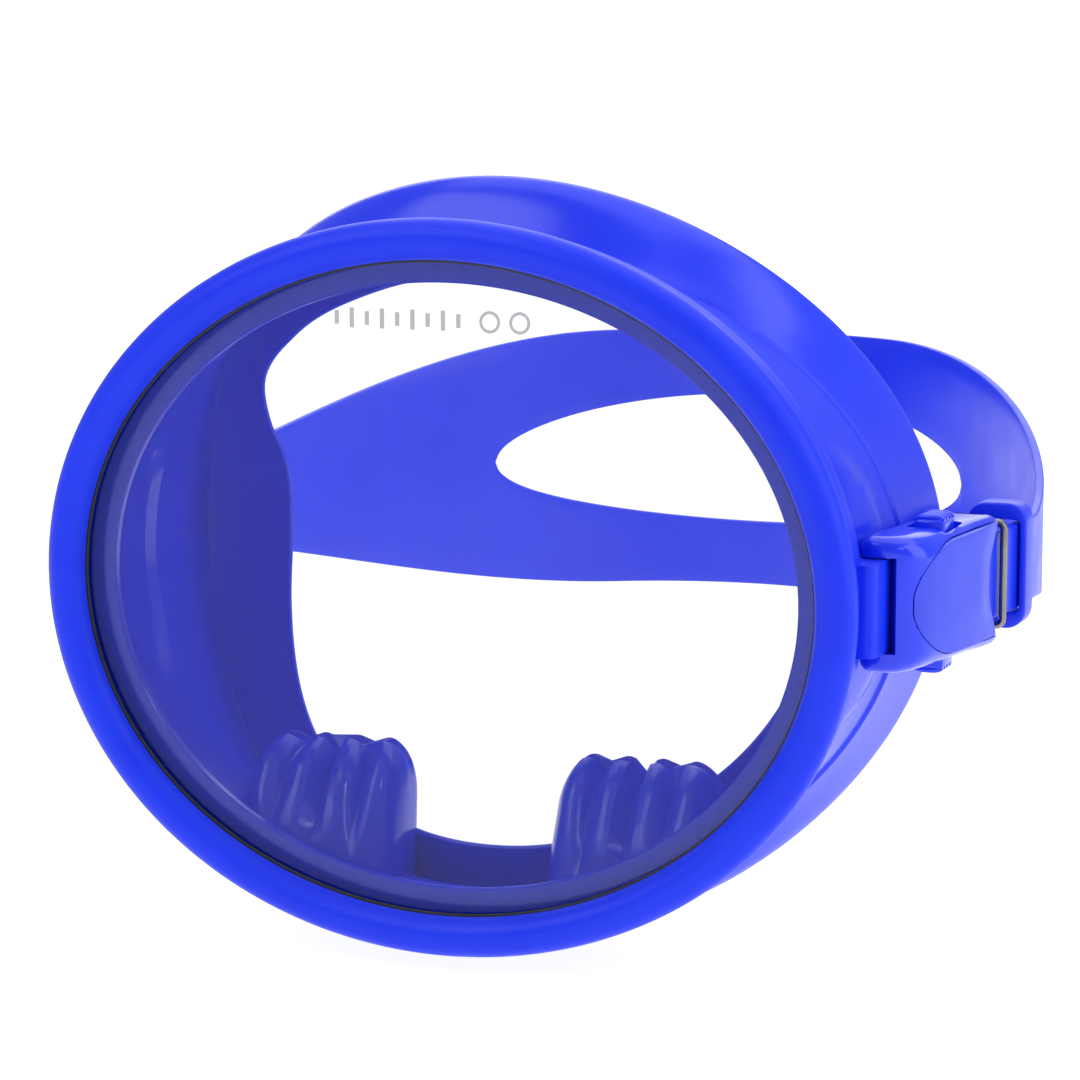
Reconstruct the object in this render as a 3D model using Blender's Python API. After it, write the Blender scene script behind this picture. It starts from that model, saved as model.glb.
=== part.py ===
"""Oval single-lens diving mask: lens and clamping rings, silicone skirt with two finger wells,
split head strap, and a swivelling quick-release buckle on each side.

Frame: metres, +Z up, the lens looks along -Y, +X is the wearer's left. The origin is the centre
of the glass's front face.
"""

from math import asin, atan2, cos, degrees, pi, radians, sin, sqrt

import bmesh
import bpy
from mathutils import Vector

MM = 0.001
GAP = 0.0003

# Lens and rings. "Offset" is measured outwards from the ring's inner edge, in the lens plane.
RING_HALF_WIDTH = 0.0744
RING_HALF_HEIGHT = 0.0626
RING_TUBE = 0.00397
RING_TUBE_Y = -0.0006
RABBET_OFFSET = 0.0049
RABBET_Y = -0.0012
LENS_OFFSET = 0.0022
LENS_THICKNESS = 0.0035
LENS_CHAMFER = 0.0004
GASKET_LIP = 0.0004
SEAT_START = 0.0007
SEAT_DROP = 0.00015
REAR_RING_OFFSET = 0.0064
REAR_RING_FRONT_Y = 0.0038
REAR_RING_BACK_Y = 0.0090
RING_STEPS = 72

# Silicone skirt
FLANGE_LIP = 0.0045
FLANGE_THICKNESS = 0.0020
BEAD_OFFSET = 0.0046
WALL_OUT = 0.00115
WALL_IN = 0.00125
CREASE = (0.0795, 0.0645, 0.0645)
CREASE_Y = (0.0210, 0.0190)
RIM = (0.0815, 0.0768, 0.0735)
RIM_Y = (0.0320, 0.0330)
OPENING_Y_AHEAD = 0.0050
SIDE_DEPTH_POWER = 2.7
SKIRT_WALL = 0.0022
SEAL_TIP = 0.0013
BOSS_HEIGHT = 0.0013
BOSS_HALF = 0.0290
BOSS_Y = (0.0110, 0.0340)
SKIRT_STEPS = 64

# The face opening: degrees above level, and distance from the axis
OPENING = (
    (-90, 0.0553),
    (-68, 0.0563),
    (-42, 0.0593),
    (-30, 0.0597),
    (-14, 0.0589),
    (0, 0.0578),
    (10, 0.0583),
    (17, 0.0606),
    (22, 0.0645),
    (30, 0.0677),
    (42, 0.0650),
    (60, 0.0605),
    (75, 0.0588),
    (90, 0.0583),
)

# Finger wells, given for the +X one
WELL_X = (0.0155, 0.0490)
WELL_Y = (0.0100, 0.0330)
WELL_TOP_Y = (0.0200, 0.0320)
WELL_TOP_Z = -0.0350
WELL_RIBS = 4
WELL_RIB_DEPTH = 0.0011
WELL_WALL = 0.0018

# Buckle: the pivot pin stands in the rear ring's lug
LEVEL_Z = 0.0
PIVOT_X = 0.0809
PIVOT_Y = 0.0160
LUG_ROOT_Y = 0.0060
SWIVEL_ROOM = radians(27)
LUG_HALF_HEIGHT = 0.0087
LUG_RADIUS = 0.0027
PIVOT_PIN_RADIUS = 0.0011
NOSE_RADIUS = 0.0028
BODY_HALF_HEIGHT = 0.0128
BODY_REAR_Y = 0.0510
BODY_OUTER_X = 0.0954
BODY_INNER_X = 0.0826
BODY_FILLET = 0.0024
COVER_THICKNESS = 0.0014
COVER_CROWN = 0.0007
COVER_HALF_HEIGHT = 0.0106

# Strap and what it runs round
STRAP_X = 0.0955
STRAP_THICKNESS = 0.0018
STRAP_HALF_WIDTH = 0.0085
STRAP_CURVE_Y = 0.0600
STRAP_BACK_Y = 0.2010
STRAP_JOIN_Y = 0.0790
PAD_LIFT = 0.0012
PAD_HALF_HEIGHT = 0.0304
PAD_START = radians(10)
PAD_FULL = radians(70)
PAD_SWELL = 1.35
HOLE_HALF_WIDTH = 0.0570
HOLE_HALF_HEIGHT = 0.0153
STRAP_STEPS = 72
LOOP_RADIUS = 0.0032
ROLLER_X = 0.0882
ROLLER_Y = 0.0450
RUN_SLOPE = 0.094
ROLLER_RADIUS = 0.0020
ROLLER_PIN_RADIUS = 0.0009
TAIL_END_Y = 0.0770

# Latch frame, keeper, buttons and springs
FRAME_WIRE = 0.00075
FRAME_X = (0.0828, 0.0948)
FRAME_Y = 0.0577
FRAME_HALF_HEIGHT = 0.0101
KNUCKLE_RADIUS = 0.0014
KNUCKLE_HALF_HEIGHT = 0.0045
KEEPER_Y = (0.0680, 0.0742)
KEEPER_X = (0.0846, 0.0968)
KEEPER_HALF_HEIGHT = 0.0125
KEEPER_WALL = 0.0014
BUTTON_X = 0.0873
BUTTON_Y = 0.0335
BUTTON_HALF = (0.0030, 0.0040)
BUTTON_FLANGE = 0.0007
BUTTON_TOP = 0.0152
BUTTON_BASE = 0.0080
BUTTON_SHOULDER = 0.0096
BUTTON_NECK_Z = 0.0101
BUTTON_RIBS = 4
WELL_FLOOR = 0.0030
SPRING_RADIUS = 0.0021
SPRING_WIRE = 0.0003
SPRING_TURNS = 3


# ---------------------------------------------------------------- helpers


def clear_scene():
    for obj in list(bpy.data.objects):
        bpy.data.objects.remove(obj)


def material(name, colour, roughness, metallic=0.0, transmission=0.0):
    made = bpy.data.materials.new(name)
    made.use_nodes = True
    shader = made.node_tree.nodes["Principled BSDF"]
    shader.inputs["Base Color"].default_value = (*colour, 1.0)
    shader.inputs["Roughness"].default_value = roughness
    shader.inputs["Metallic"].default_value = metallic
    shader.inputs["Transmission Weight"].default_value = transmission
    made.diffuse_color = (*colour, 1.0)
    return made


def finish_mesh(bm, name, origin, surface, parent=None, smooth=True):
    """The bmesh, made in world coordinates, as an object whose origin is at origin."""
    bmesh.ops.recalc_face_normals(bm, faces=bm.faces)
    bmesh.ops.translate(bm, verts=bm.verts, vec=-Vector(origin))
    mesh = bpy.data.meshes.new(name)
    bm.to_mesh(mesh)
    bm.free()
    if smooth:
        mesh.shade_smooth()
        mesh.set_sharp_from_angle(angle=radians(35))
    obj = bpy.data.objects.new(name, mesh)
    bpy.context.scene.collection.objects.link(obj)
    obj.location = origin
    if parent is not None:
        obj.parent = parent
        obj.location = Vector(origin) - parent.location
    if surface is not None:
        mesh.materials.append(surface)
    return obj


def torus_mesh(sections):
    """Closed sections, each joined to the next and the last to the first."""
    bm = bmesh.new()
    rings = [[bm.verts.new(point) for point in section] for section in sections]
    size = len(rings[0])
    for i, ring in enumerate(rings):
        after = rings[(i + 1) % len(rings)]
        for k in range(size):
            following = (k + 1) % size
            bm.faces.new((ring[k], after[k], after[following], ring[following]))
    return bm


def capped_loft(sections):
    """Closed sections, each joined to the next, with a flat cap on the first and the last."""
    bm = bmesh.new()
    rings = [[bm.verts.new(point) for point in section] for section in sections]
    size = len(rings[0])
    for ring, after in zip(rings, rings[1:]):
        for k in range(size):
            following = (k + 1) % size
            bm.faces.new((ring[k], after[k], after[following], ring[following]))
    bm.faces.new(rings[0])
    bm.faces.new(rings[-1])
    return bm


def prism(outline, low, high):
    """A plan outline of (x, y) pairs, extruded along Z."""
    return capped_loft([[(x, y, z) for x, y in outline] for z in (low, high)])


def box_mesh(low, high):
    corners = [(low[0], low[1]), (high[0], low[1]), (high[0], high[1]), (low[0], high[1])]
    return prism(corners, low[2], high[2])


def rounded_box(low, high, radius, segments=3):
    bm = box_mesh(low, high)
    bmesh.ops.bevel(bm, geom=bm.edges[:], offset=radius, segments=segments, affect="EDGES", profile=0.5)
    return bm


def circle_points(centre, radius, steps):
    turns = [2 * pi * k / steps for k in range(steps)]
    return [(centre[0] + radius * cos(t), centre[1] + radius * sin(t)) for t in turns]


def cylinder(centre, radius, low, high, steps=20):
    return prism(circle_points(centre, radius, steps), low, high)


def tongue(root, tip, radius):
    """A straight-sided outline from root, ending in a half circle about tip."""
    along = atan2(tip[1] - root[1], tip[0] - root[0])
    across = (-radius * sin(along), radius * cos(along))
    points = [(root[0] + across[0], root[1] + across[1]), (root[0] - across[0], root[1] - across[1])]
    for k in range(13):
        turn = along - pi / 2 + pi * k / 12
        points.append((tip[0] + radius * cos(turn), tip[1] + radius * sin(turn)))
    return points


def cubic(p0, p1, p2, p3, steps):
    """Points along a cubic Bezier, without its last point."""
    points = []
    for k in range(steps):
        t = k / steps
        weights = ((1 - t) ** 3, 3 * t * (1 - t) ** 2, 3 * t * t * (1 - t), t**3)
        points.append(tuple(sum(w * p[i] for w, p in zip(weights, (p0, p1, p2, p3))) for i in (0, 1)))
    return points


def mirrored(points, side):
    return [(side * x, y) for x, y in points]


def cutter(bm, name):
    made = finish_mesh(bm, name, (0, 0, 0), None, smooth=False)
    made.hide_render = True
    made.display_type = "WIRE"
    return made


def boolean(obj, other, operation="DIFFERENCE"):
    cut = obj.modifiers.new(other.name, "BOOLEAN")
    cut.operation = operation
    cut.object = other
    cut.solver = "EXACT"


def smoothstep(value):
    value = min(1.0, max(0.0, value))
    return value * value * (3 - 2 * value)


# ---------------------------------------------------------------- lens and rings


def oval_point(offset, y, turn):
    return ((RING_HALF_WIDTH + offset) * cos(turn), y, (RING_HALF_HEIGHT + offset) * sin(turn))


def swept_ring(section):
    """A section of (offset, y) pairs carried round the oval."""
    turns = [2 * pi * k / RING_STEPS for k in range(RING_STEPS)]
    return torus_mesh([[oval_point(o, y, turn) for o, y in section] for turn in turns])


def front_ring_section():
    """A round tube with a rabbet cut into its inner back for the glass and the skirt's bead."""
    first = atan2(RABBET_Y - RING_TUBE_Y, -RING_TUBE)
    reach = RABBET_OFFSET - RING_TUBE
    last = atan2(sqrt(RING_TUBE**2 - reach**2), reach)
    steps = 12
    section = []
    for k in range(steps + 1):
        turn = first + (last - first) * k / steps
        section.append((RING_TUBE + RING_TUBE * cos(turn), RING_TUBE_Y + RING_TUBE * sin(turn)))
    section.append((RABBET_OFFSET, RABBET_Y))
    return section


def make_front_ring(surface):
    return finish_mesh(swept_ring(front_ring_section()), "front_ring", (0, 0, 0), surface)


def make_gasket(surface):
    back, front = SEAT_DROP - GAP, RABBET_Y + GAP
    section = [(-GASKET_LIP, front), (LENS_OFFSET, front), (LENS_OFFSET, back), (-GASKET_LIP, back)]
    return finish_mesh(swept_ring(section), "lens_gasket", (0, 0, 0), surface)


def make_lens(surface):
    """The glass, with a margin ground slightly lower all round its front for the gasket."""
    levels = (
        (-SEAT_START, 0.0),
        (SEAT_DROP - SEAT_START, SEAT_DROP),
        (LENS_OFFSET - LENS_CHAMFER, SEAT_DROP),
        (LENS_OFFSET, SEAT_DROP + LENS_CHAMFER),
        (LENS_OFFSET, LENS_THICKNESS - LENS_CHAMFER),
        (LENS_OFFSET - LENS_CHAMFER, LENS_THICKNESS),
    )
    turns = [2 * pi * k / RING_STEPS for k in range(RING_STEPS)]
    sections = [[oval_point(offset, y, turn) for turn in turns] for offset, y in levels]
    return finish_mesh(capped_loft(sections), "lens", (0, 0, 0), surface)


def make_rear_ring(surface):
    """The clamping band behind the skirt's flange, with a lug for each buckle."""
    shelf = RABBET_OFFSET + 0.05 * MM
    section = [
        (shelf, REAR_RING_FRONT_Y),
        (REAR_RING_OFFSET, REAR_RING_FRONT_Y),
        (REAR_RING_OFFSET, REAR_RING_BACK_Y),
        (WALL_OUT + GAP, REAR_RING_BACK_Y),
        (WALL_OUT + GAP, LENS_THICKNESS + FLANGE_THICKNESS + 2 * GAP),
        (shelf, LENS_THICKNESS + FLANGE_THICKNESS + 2 * GAP),
    ]
    ring = finish_mesh(swept_ring(section), "rear_ring", (0, 0, 0), surface)
    for side, name in ((1, "left"), (-1, "right")):
        outline = mirrored(tongue((PIVOT_X, LUG_ROOT_Y), (PIVOT_X, PIVOT_Y), LUG_RADIUS), side)
        lug = prism(outline, LEVEL_Z - LUG_HALF_HEIGHT, LEVEL_Z + LUG_HALF_HEIGHT)
        boolean(ring, cutter(lug, f"lug_{name}"), "UNION")
        hole = cylinder(
            (side * PIVOT_X, PIVOT_Y),
            PIVOT_PIN_RADIUS + GAP,
            LEVEL_Z - 2 * LUG_HALF_HEIGHT,
            LEVEL_Z + 2 * LUG_HALF_HEIGHT,
        )
        boolean(ring, cutter(hole, f"lug_bore_{name}"))
    return ring


# ---------------------------------------------------------------- skirt


def oval_radius(turn, half_width, top, bottom):
    height = top if sin(turn) > 0 else bottom
    return 1 / sqrt((cos(turn) / half_width) ** 2 + (sin(turn) / height) ** 2)


def opening_radius(turn):
    """The face opening's distance from the axis, with a smooth curve through its table."""
    level = degrees(asin(sin(turn)))
    last = len(OPENING) - 1
    k = next((i for i in range(last) if level <= OPENING[i + 1][0]), last - 1)
    slopes = []
    for i in (k, k + 1):
        low, high = OPENING[i - 1 if i else 1], OPENING[i + 1 if i < last else last - 1]
        slopes.append((high[1] - low[1]) / (high[0] - low[0]) if 0 < i < last else 0.0)
    (a, start), (b, end) = OPENING[k], OPENING[k + 1]
    t = (level - a) / (b - a)
    bend = t * (1 - t) * (b - a)
    return start + (end - start) * smoothstep(t) + bend * ((1 - t) * slopes[0] - t * slopes[1])


def boss(turn, y, radius):
    """How far the swelling under a buckle lifts the wall at this place."""
    z = radius * sin(turn)
    middle = (BOSS_Y[0] + BOSS_Y[1]) / 2
    reach = ((z - LEVEL_Z) / BOSS_HALF) ** 2 + ((y - middle) / (BOSS_Y[1] - middle)) ** 2
    return BOSS_HEIGHT * smoothstep((1 - reach) * 2.5)


def skirt_section(turn):
    """One section of the skirt through the Y axis, as (distance from the axis, y) pairs."""
    side = abs(cos(turn)) ** SIDE_DEPTH_POWER
    edge = oval_radius(turn, RING_HALF_WIDTH, RING_HALF_HEIGHT, RING_HALF_HEIGHT)
    crease = oval_radius(turn, *CREASE)
    rim = oval_radius(turn, *RIM)
    opening = opening_radius(turn)
    crease_y = CREASE_Y[0] + CREASE_Y[1] * side
    rim_y = RIM_Y[0] + RIM_Y[1] * side
    opening_y = rim_y - OPENING_Y_AHEAD
    flange_front = LENS_THICKNESS + GAP
    flange_back = flange_front + FLANGE_THICKNESS
    wall_y = REAR_RING_BACK_Y + 0.5 * MM
    outside = []
    inside = []
    for share in (0.0, 0.35, 0.7):
        y = wall_y + (crease_y - wall_y) * share
        radius = edge + WALL_OUT + (crease - edge - WALL_OUT) * share
        lift = boss(turn, y, radius) if share else 0.0
        outside.append((radius + lift, y))
        inside.append((radius + lift - WALL_OUT - WALL_IN, y))
    seal_middle = (rim * 0.45 + opening * 0.55, rim_y + 0.5 * MM)
    return [
        (edge - FLANGE_LIP, flange_front),
        (edge + LENS_OFFSET + GAP, flange_front),
        (edge + LENS_OFFSET + GAP, RABBET_Y + GAP),
        (edge + BEAD_OFFSET, RABBET_Y + GAP),
        (edge + BEAD_OFFSET, flange_back),
        (edge + WALL_OUT, flange_back),
        *outside,
        (crease, crease_y),
        (rim - 0.4 * MM, rim_y - 4.0 * MM),
        (rim, rim_y - 1.5 * MM),
        (rim - 1.2 * MM, rim_y),
        (seal_middle[0], seal_middle[1]),
        (opening, opening_y),
        (opening, opening_y - SEAL_TIP),
        (seal_middle[0], seal_middle[1] - SKIRT_WALL),
        (rim - 1.6 * SKIRT_WALL, rim_y - 3.4 * MM),
        (crease - SKIRT_WALL, crease_y + 0.2 * MM),
        *reversed(inside),
        (edge - WALL_IN, flange_back),
        (edge - FLANGE_LIP, flange_back),
    ]


def wall_floor(x, y):
    """Height of the middle of the skirt's bottom wall at this place."""
    side = (abs(x) / CREASE[0]) ** SIDE_DEPTH_POWER
    crease_y = CREASE_Y[0] + CREASE_Y[1] * side
    rim_y = RIM_Y[0] + RIM_Y[1] * side
    share = min(1.0, max(0.0, (y - crease_y) / (rim_y - crease_y)))
    height = CREASE[2] - WALL_IN + (RIM[2] - CREASE[2] - 0.8 * MM) * share
    width = CREASE[0] - WALL_IN + (RIM[0] - CREASE[0]) * share
    return -height * sqrt(1 - (x / width) ** 2)


def well_solid(side, wall, start):
    """A finger well's body, shrunk all round by wall; start is its first level, as a share of its height."""
    ribs = WELL_RIB_DEPTH if wall == 0 else 0.0
    middle_x = (WELL_X[0] + WELL_X[1]) / 2
    half_x = (WELL_X[1] - WELL_X[0]) / 2 - wall
    levels = [(start, 0.5)] + [(rise, 1.0) for rise in (start, 0.25, 0.5, 0.7, 0.85, 0.95, 1.0)]
    sections = []
    for rise, spread in levels:
        up = max(0.0, rise)
        lean = up**1.5
        front = WELL_Y[0] + (WELL_TOP_Y[0] - WELL_Y[0]) * lean + wall
        back = WELL_Y[1] + (WELL_TOP_Y[1] - WELL_Y[1]) * lean - wall
        round_off = sqrt(max(0.0, 1 - max(0.0, (up - 0.7) / 0.34) ** 2))
        middle_y = (front + back) / 2
        half_y = (back - front) / 2 * round_off * spread
        width = half_x * (1 - 0.04 * up) * (0.70 + 0.30 * round_off) * spread
        section = []
        for k in range(40):
            turn = 2 * pi * k / 40
            across = abs(cos(turn)) ** 0.55 * (1 if cos(turn) > 0 else -1)
            along = abs(sin(turn)) ** 0.55 * (1 if sin(turn) > 0 else -1)
            lobe = abs(sin(pi * WELL_RIBS * (across + 1) / 2))
            bump = ribs * lobe * (1 if along < 0 else 0) * min(1.0, up * 1.6)
            x = middle_x + width * across
            y = middle_y + half_y * along - bump
            floor = wall_floor(x, y)
            top = WELL_TOP_Z - wall - ribs * (1 - lobe) * 0.8
            section.append((side * x, y, floor + rise * (top - floor)))
        sections.append(section)
    return capped_loft(sections)


def make_skirt(surface):
    turns = [2 * pi * k / SKIRT_STEPS for k in range(SKIRT_STEPS)]
    sections = [[(r * cos(turn), y, r * sin(turn)) for r, y in skirt_section(turn)] for turn in turns]
    skirt = finish_mesh(torus_mesh(sections), "skirt", (0, 0, 0), surface)
    for side, name in ((1, "left"), (-1, "right")):
        boolean(skirt, cutter(well_solid(side, 0.0, 0.0), f"finger_well_{name}"), "UNION")
        boolean(skirt, cutter(well_solid(side, WELL_WALL, -0.8), f"finger_space_{name}"))
    return skirt


# ---------------------------------------------------------------- buckle


def from_pivot(dx, dy):
    """A plan point given in millimetres from the pivot, outwards and backwards."""
    return PIVOT_X + dx * MM, PIVOT_Y + dy * MM


def body_outer_curve():
    """The buckle's outer side in plan, from its front to its rear end."""
    start = (PIVOT_X + 0.2 * MM, PIVOT_Y - NOSE_RADIUS)
    shoulder = from_pivot(10.2, 5.0)
    rear = (BODY_OUTER_X, BODY_REAR_Y)
    front = cubic(start, from_pivot(5.9, -3.0), from_pivot(8.8, -0.2), shoulder, 6)
    side = cubic(shoulder, from_pivot(12.2, 13.0), from_pivot(14.2, 23.0), rear, 10)
    return front, side + [rear]


def body_outline():
    """The whole plan of the buckle, with a round nose about the pivot."""
    front, side = body_outer_curve()
    corner = (BODY_INNER_X, BODY_REAR_Y)
    nose_side = (PIVOT_X - NOSE_RADIUS, PIVOT_Y + 0.5 * MM)
    inner = cubic(corner, (BODY_INNER_X, BODY_REAR_Y - 8.0 * MM), from_pivot(-1.6, 14.0), nose_side, 8)
    nose = []
    for k in range(8):
        turn = pi + pi / 2 * k / 8
        nose.append((PIVOT_X + NOSE_RADIUS * cos(turn), PIVOT_Y + NOSE_RADIUS * sin(turn)))
    return front + side + inner + nose


def inset(outline, distance):
    """The outline, which runs anticlockwise seen from +Z, moved inwards by distance."""
    moved = []
    for k, point in enumerate(outline):
        before, after = outline[k - 1], outline[(k + 1) % len(outline)]
        into = Vector((point[0] - before[0], point[1] - before[1])).normalized()
        away = Vector((after[0] - point[0], after[1] - point[1])).normalized()
        normal = Vector((-into.y - away.y, into.x + away.x)).normalized()
        reach = distance / max(0.5, normal.dot(Vector((-into.y, into.x))))
        moved.append((point[0] + normal.x * reach, point[1] + normal.y * reach))
    return moved


def petal_mesh(side, inward, outward, margin, crown):
    """A plate on the buckle's outer side: rounded in front, scooped behind, crowned across."""
    front, rear = body_outer_curve()
    curve = front[3:] + rear
    lengths = [0.0]
    for a, b in zip(curve, curve[1:]):
        lengths.append(lengths[-1] + sqrt((b[0] - a[0]) ** 2 + (b[1] - a[1]) ** 2))

    def along(distance):
        distance = min(max(distance, 0.0), lengths[-1])
        k = next(i for i in range(1, len(lengths)) if distance <= lengths[i])
        share = (distance - lengths[k - 1]) / (lengths[k] - lengths[k - 1])
        a, b = curve[k - 1], curve[k]
        place = (a[0] + (b[0] - a[0]) * share, a[1] + (b[1] - a[1]) * share)
        run = sqrt((b[0] - a[0]) ** 2 + (b[1] - a[1]) ** 2)
        return place, ((b[1] - a[1]) / run, -(b[0] - a[0]) / run)

    start = 1.0 * MM - margin
    columns, rows = 10, 6
    outer_grid, inner_grid = [], []
    for i in range(columns + 1):
        share = (i / columns) ** 1.4
        outer_row, inner_row = [], []
        for j in range(rows + 1):
            v = 2 * j / rows - 1
            end = lengths[-1] - 0.8 * MM + margin - 2.4 * MM * (1 - v * v) * (1 if margin == 0 else 0)
            distance = start + (end - start) * share
            fullness = min(1.0, (share + 0.012) / 0.5)
            half = (COVER_HALF_HEIGHT + margin) * sqrt(max(0.0, 1 - (1 - fullness) ** 2))
            place, normal = along(distance)
            height = outward + crown * (1 - v * v) * min(1.0, share * 4)
            z = LEVEL_Z + v * half
            outer_row.append((side * (place[0] + normal[0] * height), place[1] + normal[1] * height, z))
            inner_row.append((side * (place[0] - normal[0] * inward), place[1] - normal[1] * inward, z))
        outer_grid.append(outer_row)
        inner_grid.append(inner_row)
    bm = bmesh.new()
    grids = [[[bm.verts.new(p) for p in row] for row in grid] for grid in (outer_grid, inner_grid)]
    for grid in grids:
        for a, b in zip(grid, grid[1:]):
            for j in range(rows):
                bm.faces.new((a[j], a[j + 1], b[j + 1], b[j]))
    top, under = grids
    rim = [(0, j) for j in range(rows)] + [(i, rows) for i in range(columns)]
    rim += [(columns, rows - j) for j in range(rows)] + [(columns - i, 0) for i in range(columns)]
    for (i, j), (m, n) in zip(rim, rim[1:] + rim[:1]):
        bm.faces.new((top[i][j], top[m][n], under[m][n], under[i][j]))
    return bm


def make_buckle_body(side, word, surface, parent):
    sections = []
    for sign in (-1, 1):
        for k in range(4):
            turn = pi / 6 * (3 - k if sign < 0 else k)
            z = LEVEL_Z + sign * (BODY_HALF_HEIGHT - BODY_FILLET * (1 - sin(turn)))
            outline = mirrored(inset(body_outline(), BODY_FILLET * (1 - cos(turn))), side)
            sections.append([(x, y, z) for x, y in outline])
    origin = (side * PIVOT_X, PIVOT_Y, LEVEL_Z)
    body = finish_mesh(capped_loft(sections), f"buckle_body_{word}", origin, surface, parent)

    def cut(mesh, name):
        boolean(body, cutter(mesh, f"{name}_{word}"))

    def span(x_low, x_high, y_low, y_high, z_low, z_high):
        xs = sorted((side * x_low, side * x_high))
        return box_mesh((xs[0], y_low, LEVEL_Z + z_low), (xs[1], y_high, LEVEL_Z + z_high))

    lug_room = LUG_HALF_HEIGHT + GAP
    pivot = (side * PIVOT_X, PIVOT_Y)
    lug_end = LUG_RADIUS + 0.4 * MM
    for turn in (0.0, SWIVEL_ROOM):
        root = (PIVOT_X + 12.0 * MM * sin(turn), PIVOT_Y - 12.0 * MM * cos(turn))
        room = mirrored(tongue(root, (PIVOT_X, PIVOT_Y), lug_end), side)
        cut(prism(room, LEVEL_Z - lug_room, LEVEL_Z + lug_room), f"lug_room_{turn:.1f}")
    cut(span(0.0700, PIVOT_X, 0.0, PIVOT_Y + 6.0 * MM, -lug_room, lug_room), "fork_slot")
    strap_room = STRAP_HALF_WIDTH + 0.5 * MM
    room_x = (ROLLER_X - LOOP_RADIUS - 1.4 * MM, ROLLER_X + LOOP_RADIUS + 1.8 * MM)
    room_y = (ROLLER_Y - LOOP_RADIUS - 1.5 * MM, BODY_REAR_Y + 9.0 * MM)
    cut(span(*room_x, *room_y, -strap_room, strap_room), "strap_room")
    for sign in (1, -1):
        half_x, half_y = BUTTON_HALF[0] + GAP, BUTTON_HALF[1] + GAP
        wide_x, wide_y = half_x + BUTTON_FLANGE, half_y + BUTTON_FLANGE
        neck = sorted((sign * (BUTTON_NECK_Z - MM), sign * 0.0200))
        room = sorted((sign * WELL_FLOOR, sign * BUTTON_NECK_Z))
        x, y = BUTTON_X, BUTTON_Y
        cut(span(x - half_x, x + half_x, y - half_y, y + half_y, *neck), f"button_neck_{sign}")
        cut(span(x - wide_x, x + wide_x, y - wide_y, y + wide_y, *room), f"button_room_{sign}")
    low, high = LEVEL_Z - BODY_HALF_HEIGHT + MM, LEVEL_Z + BODY_HALF_HEIGHT - MM
    cut(cylinder((side * ROLLER_X, ROLLER_Y), ROLLER_PIN_RADIUS + GAP, low, high), "pin_bore")
    cut(cylinder(pivot, PIVOT_PIN_RADIUS + GAP, low, high), "pivot_bore")
    cut(petal_mesh(side, COVER_THICKNESS + GAP, 6.0 * MM, GAP, 0.0), "cover_recess")
    knuckle = mirrored(tongue((FRAME_X[0], BODY_REAR_Y - MM), (FRAME_X[0], FRAME_Y), KNUCKLE_RADIUS), side)
    low, high = LEVEL_Z - KNUCKLE_HALF_HEIGHT, LEVEL_Z + KNUCKLE_HALF_HEIGHT
    boolean(body, cutter(prism(knuckle, low, high), f"knuckle_{word}"), "UNION")
    frame_leg = cylinder((side * FRAME_X[0], FRAME_Y), FRAME_WIRE + GAP, low - MM, high + MM, 16)
    cut(frame_leg, "knuckle_bore")
    return body


def make_cover(side, word, surface, parent):
    origin = (side * PIVOT_X, PIVOT_Y, LEVEL_Z)
    bm = petal_mesh(side, COVER_THICKNESS, 0.0, 0.0, COVER_CROWN)
    return finish_mesh(bm, f"buckle_cover_{word}", origin, surface, parent)


def make_pin(name, side, place, radius, half_length, surface, parent):
    centre = (side * place[0], place[1])
    bm = cylinder(centre, radius, LEVEL_Z - half_length, LEVEL_Z + half_length)
    return finish_mesh(bm, name, (centre[0], centre[1], LEVEL_Z), surface, parent)


def make_button(side, word, level, sign, surface, parent):
    """A ribbed push button; sign is +1 for the top one and -1 for the bottom one."""
    half_x, half_y = BUTTON_HALF
    x, y = side * BUTTON_X, BUTTON_Y

    def slab(grow, z_low, z_high):
        zs = sorted((LEVEL_Z + sign * z_low, LEVEL_Z + sign * z_high))
        low = (x - half_x - grow, y - half_y - grow, zs[0])
        high = (x + half_x + grow, y + half_y + grow, zs[1])
        return low, high

    head = rounded_box(*slab(0.0, BUTTON_BASE + 0.5 * MM, BUTTON_TOP - 0.6 * MM), 0.9 * MM, 2)
    origin = (x, y, LEVEL_Z + sign * BUTTON_BASE)
    button = finish_mesh(head, f"release_button_{level}_{word}", origin, surface, parent)
    flange = cutter(box_mesh(*slab(BUTTON_FLANGE, BUTTON_BASE, BUTTON_SHOULDER)), f"flange_{level}_{word}")
    boolean(button, flange, "UNION")
    pitch = 2 * half_y / BUTTON_RIBS
    for k in range(BUTTON_RIBS):
        centre = (y - half_y + pitch * (k + 0.5), LEVEL_Z + sign * (BUTTON_TOP - 0.75 * MM))
        round_bar = circle_points(centre, 0.62 * MM, 10)
        ends = (x - half_x + 0.35 * MM, x + half_x - 0.35 * MM)
        bar = capped_loft([[(end, p, q) for p, q in round_bar] for end in ends])
        boolean(button, cutter(bar, f"rib_{k}_{level}_{word}"), "UNION")
    return button


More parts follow.
